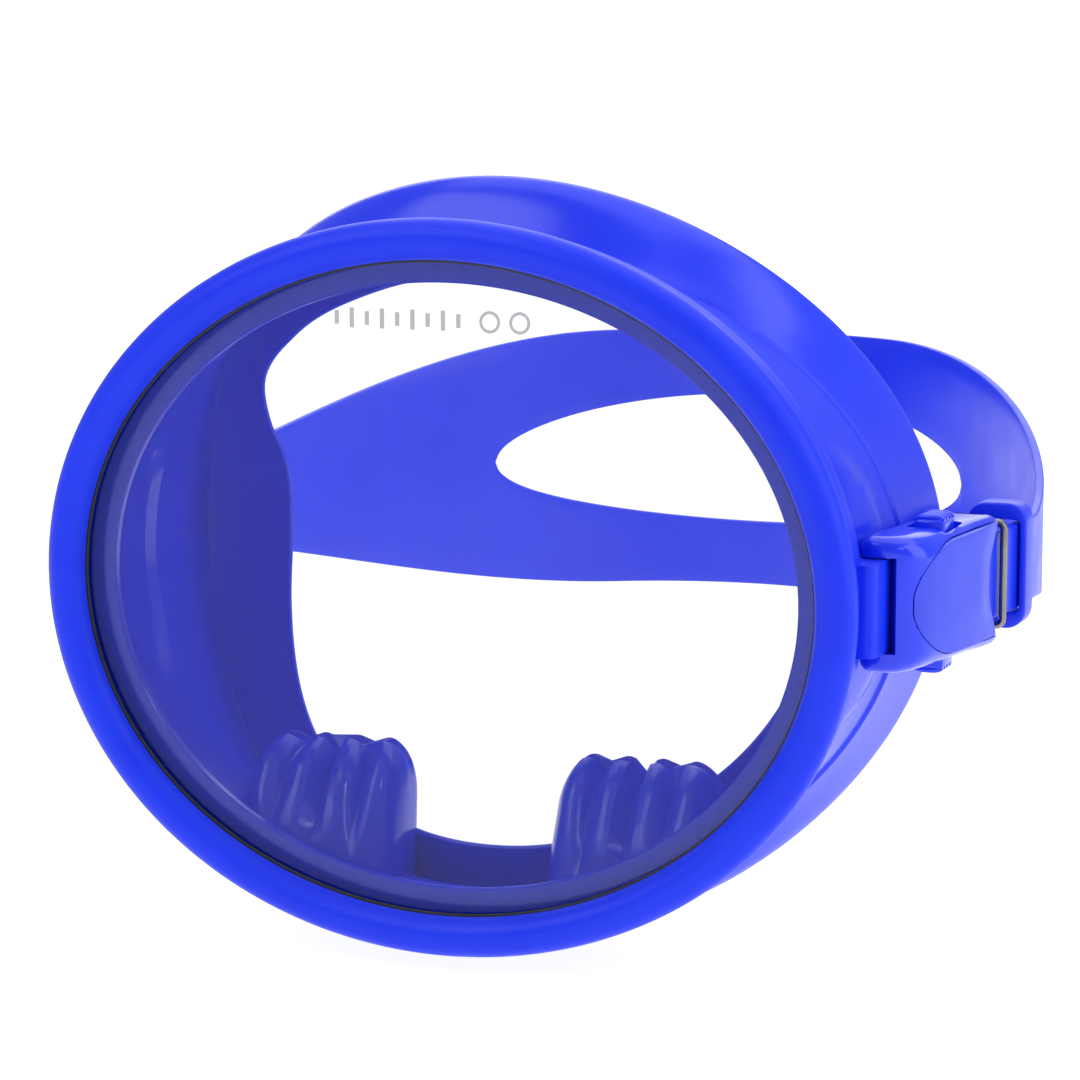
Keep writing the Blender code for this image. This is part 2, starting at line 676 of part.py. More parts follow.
def make_spring(side, word, level, sign, surface, parent):
    """A coil with flattened ends between the well's floor and the button."""
    low = WELL_FLOOR + SPRING_WIRE + GAP
    high = BUTTON_BASE - SPRING_WIRE - GAP
    steps = SPRING_TURNS * 8
    sections = []
    for k in range(steps + 1):
        turn = 2 * pi * k / 8
        share = smoothstep(k / steps)
        centre_z = LEVEL_Z + sign * (low + (high - low) * share)
        section = []
        for m in range(5):
            around = 2 * pi * m / 5
            radius = SPRING_RADIUS + SPRING_WIRE * cos(around)
            place = (side * BUTTON_X + radius * cos(turn), BUTTON_Y + radius * sin(turn))
            section.append((*place, centre_z + SPRING_WIRE * sin(around)))
        sections.append(section)
    origin = (side * BUTTON_X, BUTTON_Y, LEVEL_Z + sign * WELL_FLOOR)
    return finish_mesh(capped_loft(sections), f"button_spring_{level}_{word}", origin, surface, parent)


def make_roller(side, word, surface, parent):
    """A sleeve with a bore for its pin and a shallow waist."""
    centre = (side * ROLLER_X, ROLLER_Y)
    half = STRAP_HALF_WIDTH + 0.1 * MM
    bore = ROLLER_PIN_RADIUS + GAP
    waist = ROLLER_RADIUS - 0.15 * MM
    profile = [(bore, -half), (ROLLER_RADIUS, -half), (waist, 0), (ROLLER_RADIUS, half), (bore, half)]
    turns = [2 * pi * k / 24 for k in range(24)]
    sections = [
        [(centre[0] + r * cos(t), centre[1] + r * sin(t), LEVEL_Z + z) for r, z in profile] for t in turns
    ]
    origin = (centre[0], centre[1], LEVEL_Z)
    return finish_mesh(torus_mesh(sections), f"strap_roller_{word}", origin, surface, parent)


def make_latch_frame(side, word, surface, parent):
    """A closed rectangle of steel wire round both runs of the strap."""
    half, radius = FRAME_HALF_HEIGHT, 1.4 * MM
    corners = ((FRAME_X[1], half, 0), (FRAME_X[0], half, 1), (FRAME_X[0], -half, 2), (FRAME_X[1], -half, 3))
    path = []
    for x, z, quarter in corners:
        toward_x = -1 if x == FRAME_X[1] else 1
        toward_z = -1 if z > 0 else 1
        centre = (x + toward_x * radius, z + toward_z * radius)
        for k in range(5):
            turn = pi / 2 * (quarter + k / 4)
            path.append((centre[0] + radius * cos(turn), centre[1] + radius * sin(turn), turn))
    sections = []
    for x, z, turn in path:
        section = []
        for m in range(8):
            around = 2 * pi * m / 8
            out = FRAME_WIRE * cos(around)
            y = FRAME_Y + FRAME_WIRE * sin(around)
            section.append((side * (x + out * cos(turn)), y, LEVEL_Z + z + out * sin(turn)))
        sections.append(section)
    origin = (side * FRAME_X[0], FRAME_Y, LEVEL_Z)
    return finish_mesh(torus_mesh(sections), f"latch_frame_{word}", origin, surface, parent)


def rounded_loop(half_width, half_height, radius, centre_x):
    """A rounded rectangle in X and Z, as (x, z) pairs."""
    points = []
    for quarter, (sx, sz) in enumerate(((1, 1), (-1, 1), (-1, -1), (1, -1))):
        for k in range(6):
            turn = pi / 2 * (quarter + k / 5)
            x = centre_x + sx * (half_width - radius) + radius * cos(turn)
            points.append((x, sz * (half_height - radius) + radius * sin(turn)))
    return points


def make_keeper(side, word, surface, parent):
    """The loop that holds the strap's tail against its main run."""
    centre = (KEEPER_X[0] + KEEPER_X[1]) / 2
    half_width = (KEEPER_X[1] - KEEPER_X[0]) / 2
    outer = rounded_loop(half_width, KEEPER_HALF_HEIGHT, 4.0 * MM, centre)
    inner = rounded_loop(half_width - KEEPER_WALL, STRAP_HALF_WIDTH + 0.6 * MM, 1.0 * MM, centre)
    sections = []
    for (ox, oz), (ix, iz) in zip(outer, inner):
        section = [
            (side * ox, KEEPER_Y[0], LEVEL_Z + oz),
            (side * ox, KEEPER_Y[1], LEVEL_Z + oz),
            (side * ix, KEEPER_Y[1], LEVEL_Z + iz),
            (side * ix, KEEPER_Y[0], LEVEL_Z + iz),
        ]
        sections.append(section)
    origin = (side * centre, (KEEPER_Y[0] + KEEPER_Y[1]) / 2, LEVEL_Z)
    return finish_mesh(torus_mesh(sections), f"strap_keeper_{word}", origin, surface, parent)


def make_strap_end(side, word, surface, parent):
    """The strap's end: forward through the frame, round the roller and back to its tail."""
    half = STRAP_THICKNESS / 2
    edges = []
    for distance in (LOOP_RADIUS + half, LOOP_RADIUS - half):
        points = [(ROLLER_X + distance + RUN_SLOPE * (STRAP_JOIN_Y - ROLLER_Y), STRAP_JOIN_Y)]
        for k in range(13):
            turn = -pi * k / 12
            points.append((ROLLER_X + distance * cos(turn), ROLLER_Y + distance * sin(turn)))
        points.append((ROLLER_X - distance + RUN_SLOPE * (TAIL_END_Y - ROLLER_Y), TAIL_END_Y))
        edges.append(points)
    outline = mirrored(edges[0] + edges[1][::-1], side)
    bm = prism(outline, LEVEL_Z - STRAP_HALF_WIDTH, LEVEL_Z + STRAP_HALF_WIDTH)
    origin = (side * PIVOT_X, PIVOT_Y, LEVEL_Z)
    return finish_mesh(bm, f"strap_end_{word}", origin, surface, parent)


def make_buckle(side, word, surfaces):
    """Everything that swivels on one lug, under an empty on the pivot's axis."""
    swivel = bpy.data.objects.new(f"swivel_{word}", None)
    bpy.context.scene.collection.objects.link(swivel)
    swivel.location = (side * PIVOT_X, PIVOT_Y, LEVEL_Z)
    plastic, steel, silicone = surfaces["plastic"], surfaces["steel"], surfaces["silicone"]
    make_buckle_body(side, word, plastic, swivel)
    make_cover(side, word, surfaces["cover"], swivel)
    pin_reach = BODY_HALF_HEIGHT - 1.0 * MM - GAP
    make_pin(f"pivot_pin_{word}", side, (PIVOT_X, PIVOT_Y), PIVOT_PIN_RADIUS, pin_reach, steel, swivel)
    make_pin(f"roller_pin_{word}", side, (ROLLER_X, ROLLER_Y), ROLLER_PIN_RADIUS, pin_reach, steel, swivel)
    make_roller(side, word, plastic, swivel)
    for level, sign in (("top", 1), ("bottom", -1)):
        make_button(side, word, level, sign, plastic, swivel)
        make_spring(side, word, level, sign, steel, swivel)
    make_latch_frame(side, word, steel, swivel)
    make_keeper(side, word, plastic, swivel)
    make_strap_end(side, word, silicone, swivel)


# ---------------------------------------------------------------- head strap


def make_strap(surface):
    """The split head strap: a curved band that widens into a pad with an oval hole."""
    depth = STRAP_BACK_Y - STRAP_CURVE_Y
    first = asin((STRAP_JOIN_Y + 2 * GAP - STRAP_CURVE_Y) / depth)
    bm = bmesh.new()
    previous = None
    for k in range(STRAP_STEPS + 1):
        turn = first + (pi - 2 * first) * k / STRAP_STEPS
        x = STRAP_X * cos(turn)
        y = STRAP_CURVE_Y + depth * sin(turn)
        share = min(1.0, max(0.0, (min(turn, pi - turn) - PAD_START) / (PAD_FULL - PAD_START)))
        half = STRAP_HALF_WIDTH + (PAD_HALF_HEIGHT - STRAP_HALF_WIDTH) * sin(pi / 2 * share) ** PAD_SWELL
        across = abs(x) / HOLE_HALF_WIDTH
        hole = HOLE_HALF_HEIGHT * sqrt(1 - across**2) if across < 1 else 0.0
        middle = LEVEL_Z + PAD_LIFT * smoothstep(share)
        low = bm.verts.new((x, y, middle - half))
        high = bm.verts.new((x, y, middle + half))
        under = bm.verts.new((x, y, middle - hole))
        over = bm.verts.new((x, y, middle + hole)) if hole else under
        if previous:
            bm.faces.new((previous[0], low, under, previous[1]))
            bm.faces.new((previous[2], over, high, previous[3]))
        previous = (low, under, over, high)
    strap = finish_mesh(bm, "head_strap", (0, 0, 0), surface)
    shell = strap.modifiers.new("thickness", "SOLIDIFY")
    shell.thickness = STRAP_THICKNESS
    shell.offset = 0.0
    return strap


def main():
    clear_scene()
    blue_silicone = material("blue_silicone", (0.035, 0.055, 0.80), 0.35)
    blue_plastic = material("blue_plastic", (0.030, 0.050, 0.85), 0.28)
    cover_plastic = material("blue_cover_plastic", (0.055, 0.075, 0.80), 0.40)
    glass = material("tempered_glass", (0.90, 0.92, 0.95), 0.02, transmission=1.0)
    black_rubber = material("black_rubber", (0.010, 0.010, 0.012), 0.55)
    steel = material("stainless_steel", (0.62, 0.62, 0.60), 0.25, metallic=1.0)
    make_front_ring(blue_plastic)
    make_gasket(black_rubber)
    make_lens(glass)
    make_rear_ring(blue_plastic)
    make_skirt(blue_silicone)
    make_strap(blue_silicone)
    surfaces = {"plastic": blue_plastic, "cover": cover_plastic, "steel": steel, "silicone": blue_silicone}
    for side, word in ((1, "left"), (-1, "right")):
        make_buckle(side, word, surfaces)


main()
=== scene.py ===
"""Looks for the oval diving mask: finer silicone, plastic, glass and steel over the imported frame.

Everything is in metres in the frame's own axes: the glass's front face is at the origin and looks
along -Y, +Z is up, and the "left" buckle is the one at +X.
"""

from math import asin, atan2, cos, degrees, pi, radians, sin, sqrt

import bmesh
import bpy
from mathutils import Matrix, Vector

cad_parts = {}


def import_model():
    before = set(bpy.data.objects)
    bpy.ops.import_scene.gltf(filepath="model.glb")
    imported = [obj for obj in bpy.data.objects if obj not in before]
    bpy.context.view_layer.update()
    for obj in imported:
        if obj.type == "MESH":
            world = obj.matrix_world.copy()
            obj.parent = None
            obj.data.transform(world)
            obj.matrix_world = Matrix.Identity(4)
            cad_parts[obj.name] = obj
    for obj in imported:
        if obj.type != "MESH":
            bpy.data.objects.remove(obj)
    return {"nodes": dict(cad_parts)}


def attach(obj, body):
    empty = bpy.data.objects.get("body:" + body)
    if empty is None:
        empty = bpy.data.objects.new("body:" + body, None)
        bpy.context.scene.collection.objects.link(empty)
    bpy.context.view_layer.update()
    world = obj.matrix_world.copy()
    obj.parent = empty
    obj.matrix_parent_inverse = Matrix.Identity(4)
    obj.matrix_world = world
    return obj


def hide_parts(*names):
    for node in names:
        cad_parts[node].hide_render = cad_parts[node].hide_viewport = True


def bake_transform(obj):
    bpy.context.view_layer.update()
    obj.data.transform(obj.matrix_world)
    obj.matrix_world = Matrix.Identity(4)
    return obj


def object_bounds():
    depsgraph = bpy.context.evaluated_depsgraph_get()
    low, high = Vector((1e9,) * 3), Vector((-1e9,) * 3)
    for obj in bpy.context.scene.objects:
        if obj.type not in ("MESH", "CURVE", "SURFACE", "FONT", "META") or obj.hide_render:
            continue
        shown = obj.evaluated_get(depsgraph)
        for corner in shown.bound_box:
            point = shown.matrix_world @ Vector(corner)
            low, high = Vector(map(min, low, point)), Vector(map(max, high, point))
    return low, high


MM = 0.001
GAP = 0.0003
SIDES = ((1, "left"), (-1, "right"))

# Lens and rings
RING_HALF_WIDTH = 0.0744
RING_HALF_HEIGHT = 0.0626
RING_TUBE = 0.00397
RING_TUBE_Y = -0.0006
RABBET_OFFSET = 0.0049
RABBET_Y = -0.0012
LENS_OFFSET = 0.0022
LENS_THICKNESS = 0.0035
LENS_CHAMFER = 0.0004
GASKET_INNER = -0.0004
GASKET_ROUNDING = 0.0002
REAR_RING_OFFSET = 0.0064
REAR_RING_Y = (0.0038, 0.0090)
REAR_RING_ROUNDING = 0.0005
SHELF_CLEARANCE = 0.00005
RING_STEPS = 240

# The mark etched on the glass: x and z in the lens's plane
MARK_CENTRE = (-0.0020, 0.0513)
MARK_Y = -0.00004
MARK_DEPTH = 0.00003
MARK_BARS = 9
MARK_BARS_LEFT = 6
MARK_PITCH = 0.0031
MARK_BAR_HALF_WIDTH = 0.00045
MARK_BAR_HALF_HEIGHTS = (0.0013, 0.0019)
MARK_RINGS_X = (0.0125, 0.0185)
MARK_RING_RADIUS = 0.0021
MARK_RING_WIDTH = 0.0006

# Skirt. The crease and the rim are (half width, top, bottom) in outline. Their depths are
# (y in the middle plane, how much more at the far left and right).
FLANGE_LIP = 0.0045
FLANGE_THICKNESS = 0.0020
BEAD_OFFSET = 0.0046
WALL_OUT = 0.00115
WALL_IN = 0.00125
CREASE = (0.0795, 0.0645, 0.0645)
CREASE_Y = (0.0210, 0.0190)
CREASE_STEP = 0.0006
RIM = (0.0815, 0.0768, 0.0735)
RIM_Y = (0.0320, 0.0330)
OPENING_AHEAD = 0.0050
SIDE_DEPTH_POWER = 2.7
SKIRT_WALL = 0.0022
WALL_STEPS = 10
RIM_LIP_RADIUS = 0.0013
RIM_LIP_AHEAD = 0.0015
INNER_TIP_RADIUS = 0.0006
FOLD_INWARD = 1.6 * SKIRT_WALL
FOLD_AHEAD = 0.0034
FLANGE_EDGE = 0.0003
FLANGE_CORNER = 0.0006
BOSS_HEIGHT = 0.0013
BOSS_HALF = 0.0290
BOSS_STEEPNESS = 2.5
BOSS_Y = (0.0110, 0.0340)
SKIRT_STEPS = 240

# The face opening: degrees above level, and distance from the axis
OPENING = (
    (-90, 0.0553),
    (-68, 0.0563),
    (-42, 0.0593),
    (-30, 0.0597),
    (-14, 0.0589),
    (0, 0.0578),
    (10, 0.0583),
    (17, 0.0606),
    (22, 0.0645),
    (30, 0.0677),
    (42, 0.0650),
    (60, 0.0605),
    (75, 0.0588),
    (90, 0.0583),
)

# Finger wells: x and y ranges at the floor, and the y range at the top
WELL_X = (0.0155, 0.0490)
WELL_Y = (0.0100, 0.0330)
WELL_TOP_Y = (0.0200, 0.0320)
WELL_TOP_Z = -0.0350
WELL_RIBS = 4
WELL_RIB_DEPTH = 0.0030
WELL_WALL = 0.0018
WELL_HOLLOW_START = -0.8
WELL_LEVELS = 22
WELL_POINTS = 144
WELL_SQUARENESS = 0.6
WELL_TOP_ROUNDING = (0.72, 0.30)

# Buckle
LEVEL_Z = 0.0
PIVOT = (0.0809, 0.0160)
LUG_ROOT_Y = 0.0060
LUG_CORNER = 0.0022
SWIVEL_ROOM = radians(27)
LUG_HALF_HEIGHT = 0.0087
LUG_RADIUS = 0.0027
LUG_BEVEL = (0.0003, 0.0004)
LUG_REACH = 0.0120
LUG_CLEARANCE = 0.0004
NOSE_RADIUS = 0.0028
BODY_HALF_HEIGHT = 0.0128
BODY_REAR_Y = 0.0510
BODY_OUTER_X = 0.0954
BODY_INNER_X = 0.0826
BODY_CORNER = 0.0012
NOSE_FILLET = 0.0024
FRONT_FILLET = (0.0025, 0.0045)
SIDE_FILLET = (0.0045, 0.0023)
SIDE_FILLET_RUN = 0.0140
INNER_FILLET = 0.0020
FILLET_STEPS = 7
CURVE_STEPS = 12

# Room inside the buckle: beside the lug, and round the strap's loop
LUG_ROOM_X = 0.0700
LUG_ROOM_LENGTH = 0.0060
LOOP_ROOM_X = (0.0014, 0.0018)
LOOP_ROOM_Y = (0.0015, 0.0090)
STRAP_CLEARANCE = 0.0005

# The petal cover
COVER_THICKNESS = 0.0014
COVER_CROWN = 0.0006
COVER_HALF_HEIGHT = 0.0106
COVER_SCOOP = 0.0042
COVER_DISH = 0.0010
COVER_TILT = 0.0009
COVER_ROUND_SHARE = 0.42
COVER_COLUMNS = 40
COVER_ROWS = 24

# Strap, with what it runs round and through
STRAP_X = 0.0955
STRAP_THICKNESS = 0.0018
STRAP_HALF_WIDTH = 0.0085
STRAP_CURVE_Y = 0.0600
STRAP_BACK_Y = 0.2010
STRAP_JOIN_Y = 0.0790
STRAP_ROWS = 6
STRAP_ROUNDING = 0.00045
PAD_STEPS = 300
PAD_LIFT = 0.0012
PAD_HALF_HEIGHT = 0.0304
PAD_START = radians(10)
PAD_FULL = radians(70)
PAD_SWELL = 1.35
HOLE_HALF_WIDTH = 0.0570
HOLE_HALF_HEIGHT = 0.0153
LOOP_RADIUS = 0.0032
ROLLER = (0.0882, 0.0450)
ROLLER_RADIUS = 0.0020
ROLLER_BORE = 0.0012
ROLLER_EDGE = 0.0002
ROLLER_WAIST = 0.00015
RUN_SLOPE = 0.094
RUN_PULL = 0.0110
TAIL_END_Y = 0.0770
TAIL_STEPS = 16
TAIL_TIP_SHARE = 0.65
LOOP_STEPS = 24
FRAME_WIRE = 0.00075
FRAME_X = (0.0828, 0.0948)
FRAME_Y = 0.0577
FRAME_CORNER = 0.0014
KNUCKLE_RADIUS = 0.0014
KNUCKLE_HALF_HEIGHT = 0.0045
FRAME_HALF_HEIGHT = 0.0101
KEEPER_Y = (0.0680, 0.0742)
KEEPER_X = (0.0846, 0.0968)
KEEPER_HALF_HEIGHT = 0.0125
KEEPER_WALL = 0.0014
KEEPER_CORNERS = (0.0040, 0.0010)

# Release buttons: the cap's levels, its spring's pocket (radius, depth) and the dish it sits in
BUTTON = (0.0873, 0.0335)
BUTTON_HALF = (0.0030, 0.0040)
BUTTON_TOP = 0.0152
BUTTON_BASE = 0.0080
BUTTON_WELL_FLOOR = 0.0030
SPRING_POCKET = (0.0027, 0.0024)
BUTTON_RIBS = 4
BUTTON_ROUNDING = 0.0009
BUTTON_RIB_RADIUS = 0.0007
DISH_DEPTH = 0.0009
DISH_MARGIN = (0.0008, 0.0010)
ABOVE_BODY = 0.0200

# Camera, from the front left of the wearer
CAMERA_PLACE = (0.26518, -0.63737, 0.11476)
CAMERA_TILT = (radians(81.35), 0.0, radians(21.0))
CAMERA_LENS_MM = 123.33

# Studio
FLOOR_RADIUS = 4.0
FLOOR_BELOW = 0.0002
LIGHT_TARGET = (0.0, 0.05, 0.0)
WORLD_STRENGTH = 0.42

# Name, place, width and height, power in watts
LIGHTS = (
    ("key_light", (-0.9, -1.1, 1.3), (1.2, 1.2), 11.0),
    ("side_light", (1.5, 0.1, 0.7), (1.2, 1.6), 11.5),
    ("back_light", (-0.5, 1.5, 0.9), (1.6, 1.2), 9.0),
    ("edge_light", (0.95, -0.75, 0.75), (0.14, 0.14), 1.1),
    ("top_light", (0.1, 0.4, 1.6), (2.0, 2.0), 15.0),
)

# Pairs of colours that a material wanders between
BLUES = ((0.009, 0.040, 0.86), (0.006, 0.030, 0.80))
COVER_BLUES = ((0.030, 0.060, 0.78), (0.022, 0.048, 0.72))
# Black of the lens gasket, which also paints in the dark shade line that the glass's edge throws
GASKET_AND_SHADE_BLACKS = ((0.008, 0.008, 0.011), (0.016, 0.016, 0.020))
STEELS = ((0.20, 0.19, 0.16), (0.30, 0.29, 0.25))
FROSTS = ((0.44, 0.44, 0.46), (0.52, 0.52, 0.54))
FLOOR_GREYS = ((0.30, 0.30, 0.30), (0.32, 0.32, 0.32))


# ---------------------------------------------------------------- materials


def node_tree(name):
    made = bpy.data.materials.new(name)
    made.use_nodes = True
    return made, made.node_tree.nodes, made.node_tree.links, made.node_tree.nodes["Principled BSDF"]


def noise(nodes, links, scale, detail=3.0, roughness=0.5):
    """A noise field in the piece's own coordinates, in cells per metre."""
    place = nodes.new("ShaderNodeTexCoord")
    field = nodes.new("ShaderNodeTexNoise")
    field.inputs["Scale"].default_value = scale
    field.inputs["Detail"].default_value = detail
    field.inputs["Roughness"].default_value = roughness
    links.new(place.outputs["Object"], field.inputs["Vector"])
    return field.outputs["Fac"]


def spread(nodes, links, value, low, high):
    """Stretches the busy middle of a noise field over low to high."""
    scaled = nodes.new("ShaderNodeMapRange")
    scaled.inputs["From Min"].default_value = 0.3
    scaled.inputs["From Max"].default_value = 0.7
    scaled.inputs["To Min"].default_value = low
    scaled.inputs["To Max"].default_value = high
    links.new(value, scaled.inputs["Value"])
    return scaled.outputs["Result"]


def two_tone(nodes, links, value, first, second):
    mix = nodes.new("ShaderNodeMix")
    mix.data_type = "RGBA"
    mix.inputs["A"].default_value = (*first, 1.0)
    mix.inputs["B"].default_value = (*second, 1.0)
    links.new(value, mix.inputs["Factor"])
    return mix.outputs["Result"]


def bump(nodes, links, shader, value, strength, depth):
    made = nodes.new("ShaderNodeBump")
    made.inputs["Strength"].default_value = strength
    made.inputs["Distance"].default_value = depth
    links.new(value, made.inputs["Height"])
    links.new(made.outputs["Normal"], shader.inputs["Normal"])


def moulded(name, colours, roughness, grain, specular=0.5, coat=0.0):
    """Moulded plastic or silicone: cloudy colour, uneven gloss and a grain of (cells per metre, depth)."""
    made, nodes, links, shader = node_tree(name)
    cloud = spread(nodes, links, noise(nodes, links, scale=45.0), low=0.0, high=1.0)
    links.new(two_tone(nodes, links, cloud, *colours), shader.inputs["Base Color"])
    patches = noise(nodes, links, scale=120.0, detail=4.0)
    gloss = spread(nodes, links, patches, low=roughness * 0.9, high=roughness * 1.12)
    links.new(gloss, shader.inputs["Roughness"])
    cells = noise(nodes, links, scale=grain[0], detail=4.0, roughness=0.6)
    bump(nodes, links, shader, cells, strength=0.35, depth=grain[1])
    shader.inputs["Specular IOR Level"].default_value = specular
    shader.inputs["Coat Weight"].default_value = coat
    shader.inputs["Coat Roughness"].default_value = 0.15
    made.diffuse_color = (*colours[0], 1.0)
    return made


def drawn_steel(name, roughness, line_scale):
    """Steel with fine drawing lines along Z."""
    made, nodes, links, shader = node_tree(name)
    place = nodes.new("ShaderNodeTexCoord")
    squeeze = nodes.new("ShaderNodeMapping")
    squeeze.inputs["Scale"].default_value = (1.0, 1.0, 0.04)
    lines = nodes.new("ShaderNodeTexNoise")
    lines.inputs["Scale"].default_value = line_scale
    lines.inputs["Detail"].default_value = 4.0
    links.new(place.outputs["Object"], squeeze.inputs["Vector"])
    links.new(squeeze.outputs["Vector"], lines.inputs["Vector"])
    gloss = spread(nodes, links, lines.outputs["Fac"], low=roughness * 0.7, high=roughness * 1.4)
    links.new(gloss, shader.inputs["Roughness"])
    tone = spread(nodes, links, noise(nodes, links, scale=150.0), low=0.0, high=1.0)
    links.new(two_tone(nodes, links, tone, *STEELS), shader.inputs["Base Color"])
    bump(nodes, links, shader, lines.outputs["Fac"], strength=0.25, depth=0.00002)
    shader.inputs["Metallic"].default_value = 1.0
    made.diffuse_color = (0.66, 0.65, 0.61, 1.0)
    return made


def lens_glass(name):
    """Clear tempered glass, very slightly uneven, with a grey tint."""
    made, nodes, links, shader = node_tree(name)
    shader.inputs["Base Color"].default_value = (0.83, 0.835, 0.84, 1.0)
    shader.inputs["Transmission Weight"].default_value = 1.0
    shader.inputs["IOR"].default_value = 1.28
    smear = spread(nodes, links, noise(nodes, links, scale=30.0, detail=2.0), low=0.0, high=0.012)
    links.new(smear, shader.inputs["Roughness"])
    waves = noise(nodes, links, scale=18.0, detail=1.0)
    bump(nodes, links, shader, waves, strength=0.05, depth=0.00002)
    made.diffuse_color = (0.9, 0.92, 0.95, 0.35)
    return made


def etched_glass(name):
    """Frosted grey specks."""
    made, nodes, links, shader = node_tree(name)
    specks = noise(nodes, links, scale=6000.0, detail=2.0)
    links.new(two_tone(nodes, links, specks, *FROSTS), shader.inputs["Base Color"])
    links.new(spread(nodes, links, specks, low=0.7, high=0.95), shader.inputs["Roughness"])
    bump(nodes, links, shader, specks, strength=0.4, depth=0.00001)
    made.diffuse_color = (0.5, 0.5, 0.52, 1.0)
    return made


def floor_white(name):
    """A pale floor, lit a little from within so that only a faint shadow shows."""
    made, nodes, links, shader = node_tree(name)
    tone = noise(nodes, links, scale=3.0, detail=2.0)
    links.new(two_tone(nodes, links, tone, *FLOOR_GREYS), shader.inputs["Base Color"])
    shader.inputs["Roughness"].default_value = 0.9
    shader.inputs["Specular IOR Level"].default_value = 0.1
    shader.inputs["Emission Color"].default_value = (1.0, 1.0, 1.0, 1.0)
    shader.inputs["Emission Strength"].default_value = 0.92
    return made


def make_materials():
    return {
        "ring": moulded("ring_plastic", BLUES, 0.40, (2600.0, 0.000010), specular=0.22),
        "buckle": moulded("buckle_plastic", BLUES, 0.17, (3200.0, 0.000003), specular=0.40, coat=0.25),
        "cover": moulded("cover_plastic", COVER_BLUES, 0.45, (4200.0, 0.000025), specular=0.5),
        "keeper": moulded("keeper_plastic", BLUES, 0.36, (3000.0, 0.000012), specular=0.4),
        "skirt": moulded("skirt_silicone", BLUES, 0.22, (1800.0, 0.000005), specular=0.45),
        "strap": moulded("strap_silicone", BLUES, 0.34, (2200.0, 0.000008), specular=0.4),
        "gasket": moulded("gasket_rubber", GASKET_AND_SHADE_BLACKS, 0.5, (3000.0, 0.00002)),
        "steel": drawn_steel("wire_steel", 0.22, 2500.0),
        "pin": drawn_steel("pin_steel", 0.32, 3500.0),
        "glass": lens_glass("lens_glass"),
        "etched": etched_glass("etched_mark"),
        "floor": floor_white("studio_floor"),
    }


# ---------------------------------------------------------------- mesh helpers


def piece_from(bm, name, surface, sharp=32.0):
    bmesh.ops.recalc_face_normals(bm, faces=bm.faces)
    mesh = bpy.data.meshes.new(name)
    bm.to_mesh(mesh)
    bm.free()
    mesh.shade_smooth()
    mesh.set_sharp_from_angle(angle=radians(sharp))
    obj = bpy.data.objects.new(name, mesh)
    bpy.context.scene.collection.objects.link(obj)
    if surface is not None:
        mesh.materials.append(surface)
    return obj


def settle(obj, sharp=32.0):
    """Turns the object's modifiers into plain mesh."""
    graph = bpy.context.evaluated_depsgraph_get()
    final = bpy.data.meshes.new_from_object(obj.evaluated_get(graph))
    obj.modifiers.clear()
    obj.data = final
    final.shade_smooth()
    final.set_sharp_from_angle(angle=radians(sharp))


def boolean(obj, bm, operation="DIFFERENCE"):
    """Joins or cuts obj with the bmesh's closed body."""
    other = piece_from(bm, f"tool_{len(obj.modifiers)}", None)
    cut = obj.modifiers.new(other.name, "BOOLEAN")
    cut.operation = operation
    cut.object = other
    cut.solver = "EXACT"
    return other


def apply_booleans(obj, tools, sharp=32.0):
    settle(obj, sharp)
    for tool in tools:
        bpy.data.objects.remove(tool)


def soften(obj, width, angle=40.0):
    """Rounds the edges that are sharper than angle, in degrees."""
    bevel = obj.modifiers.new("rounded_edges", "BEVEL")
    bevel.width = width
    bevel.segments = 3
    bevel.limit_method = "ANGLE"
    bevel.angle_limit = radians(angle)
    settle(obj)


def loft(sections, closed=False):
    """Closed sections joined in turn: into a ring if closed, otherwise with a cap at each end."""
    bm = bmesh.new()
    rings = [[bm.verts.new(point) for point in section] for section in sections]
    size = len(rings[0])
    pairs = list(zip(rings, rings[1:]))
    if closed:
        pairs.append((rings[-1], rings[0]))
    for ring, after in pairs:
        for k in range(size):
            following = (k + 1) % size
            bm.faces.new((ring[k], after[k], after[following], ring[following]))
    if not closed:
        bm.faces.new(rings[0])
        bm.faces.new(rings[-1])
    return bm


def prism(outline, low, high):
    return loft([[(x, y, z) for x, y in outline] for z in (low, high)])


def rectangle(low, high):
    return [(low[0], low[1]), (high[0], low[1]), (high[0], high[1]), (low[0], high[1])]


def box_mesh(low, high):
    return prism(rectangle(low, high), low[2], high[2])


def full_turn(steps):
    return [2 * pi * k / steps for k in range(steps)]


def circle_points(centre, radius, steps):
    turns = full_turn(steps)
    return [(centre[0] + radius * cos(t), centre[1] + radius * sin(t)) for t in turns]


def cubic(p0, p1, p2, p3, steps):
    """Points along a cubic Bezier, without its last point."""
    points = []
    for k in range(steps):
        t = k / steps
        weights = ((1 - t) ** 3, 3 * t * (1 - t) ** 2, 3 * t * t * (1 - t), t**3)
        points.append(tuple(sum(w * p[i] for w, p in zip(weights, (p0, p1, p2, p3))) for i in (0, 1)))
    return points


def arc(centre, radius, first, last, steps):
    turns = [first + (last - first) * k / steps for k in range(steps + 1)]
    return [(centre[0] + radius * cos(t), centre[1] + radius * sin(t)) for t in turns]


def mirrored(points, side):
    return [(side * x, y) for x, y in points]


def smoothstep(value):
    value = min(1.0, max(0.0, value))
    return value * value * (3 - 2 * value)


def tongue(root, tip, radius, steps=20):
    """A straight-sided outline from root, ending in a half circle about tip."""
    along = atan2(tip[1] - root[1], tip[0] - root[0])
    across = (-radius * sin(along), radius * cos(along))
    points = [(root[0] + across[0], root[1] + across[1]), (root[0] - across[0], root[1] - across[1])]
    return points + arc(tip, radius, along - pi / 2, along + pi / 2, steps)


# ---------------------------------------------------------------- lens and rings


def oval_point(offset, y, turn):
    return ((RING_HALF_WIDTH + offset) * cos(turn), y, (RING_HALF_HEIGHT + offset) * sin(turn))


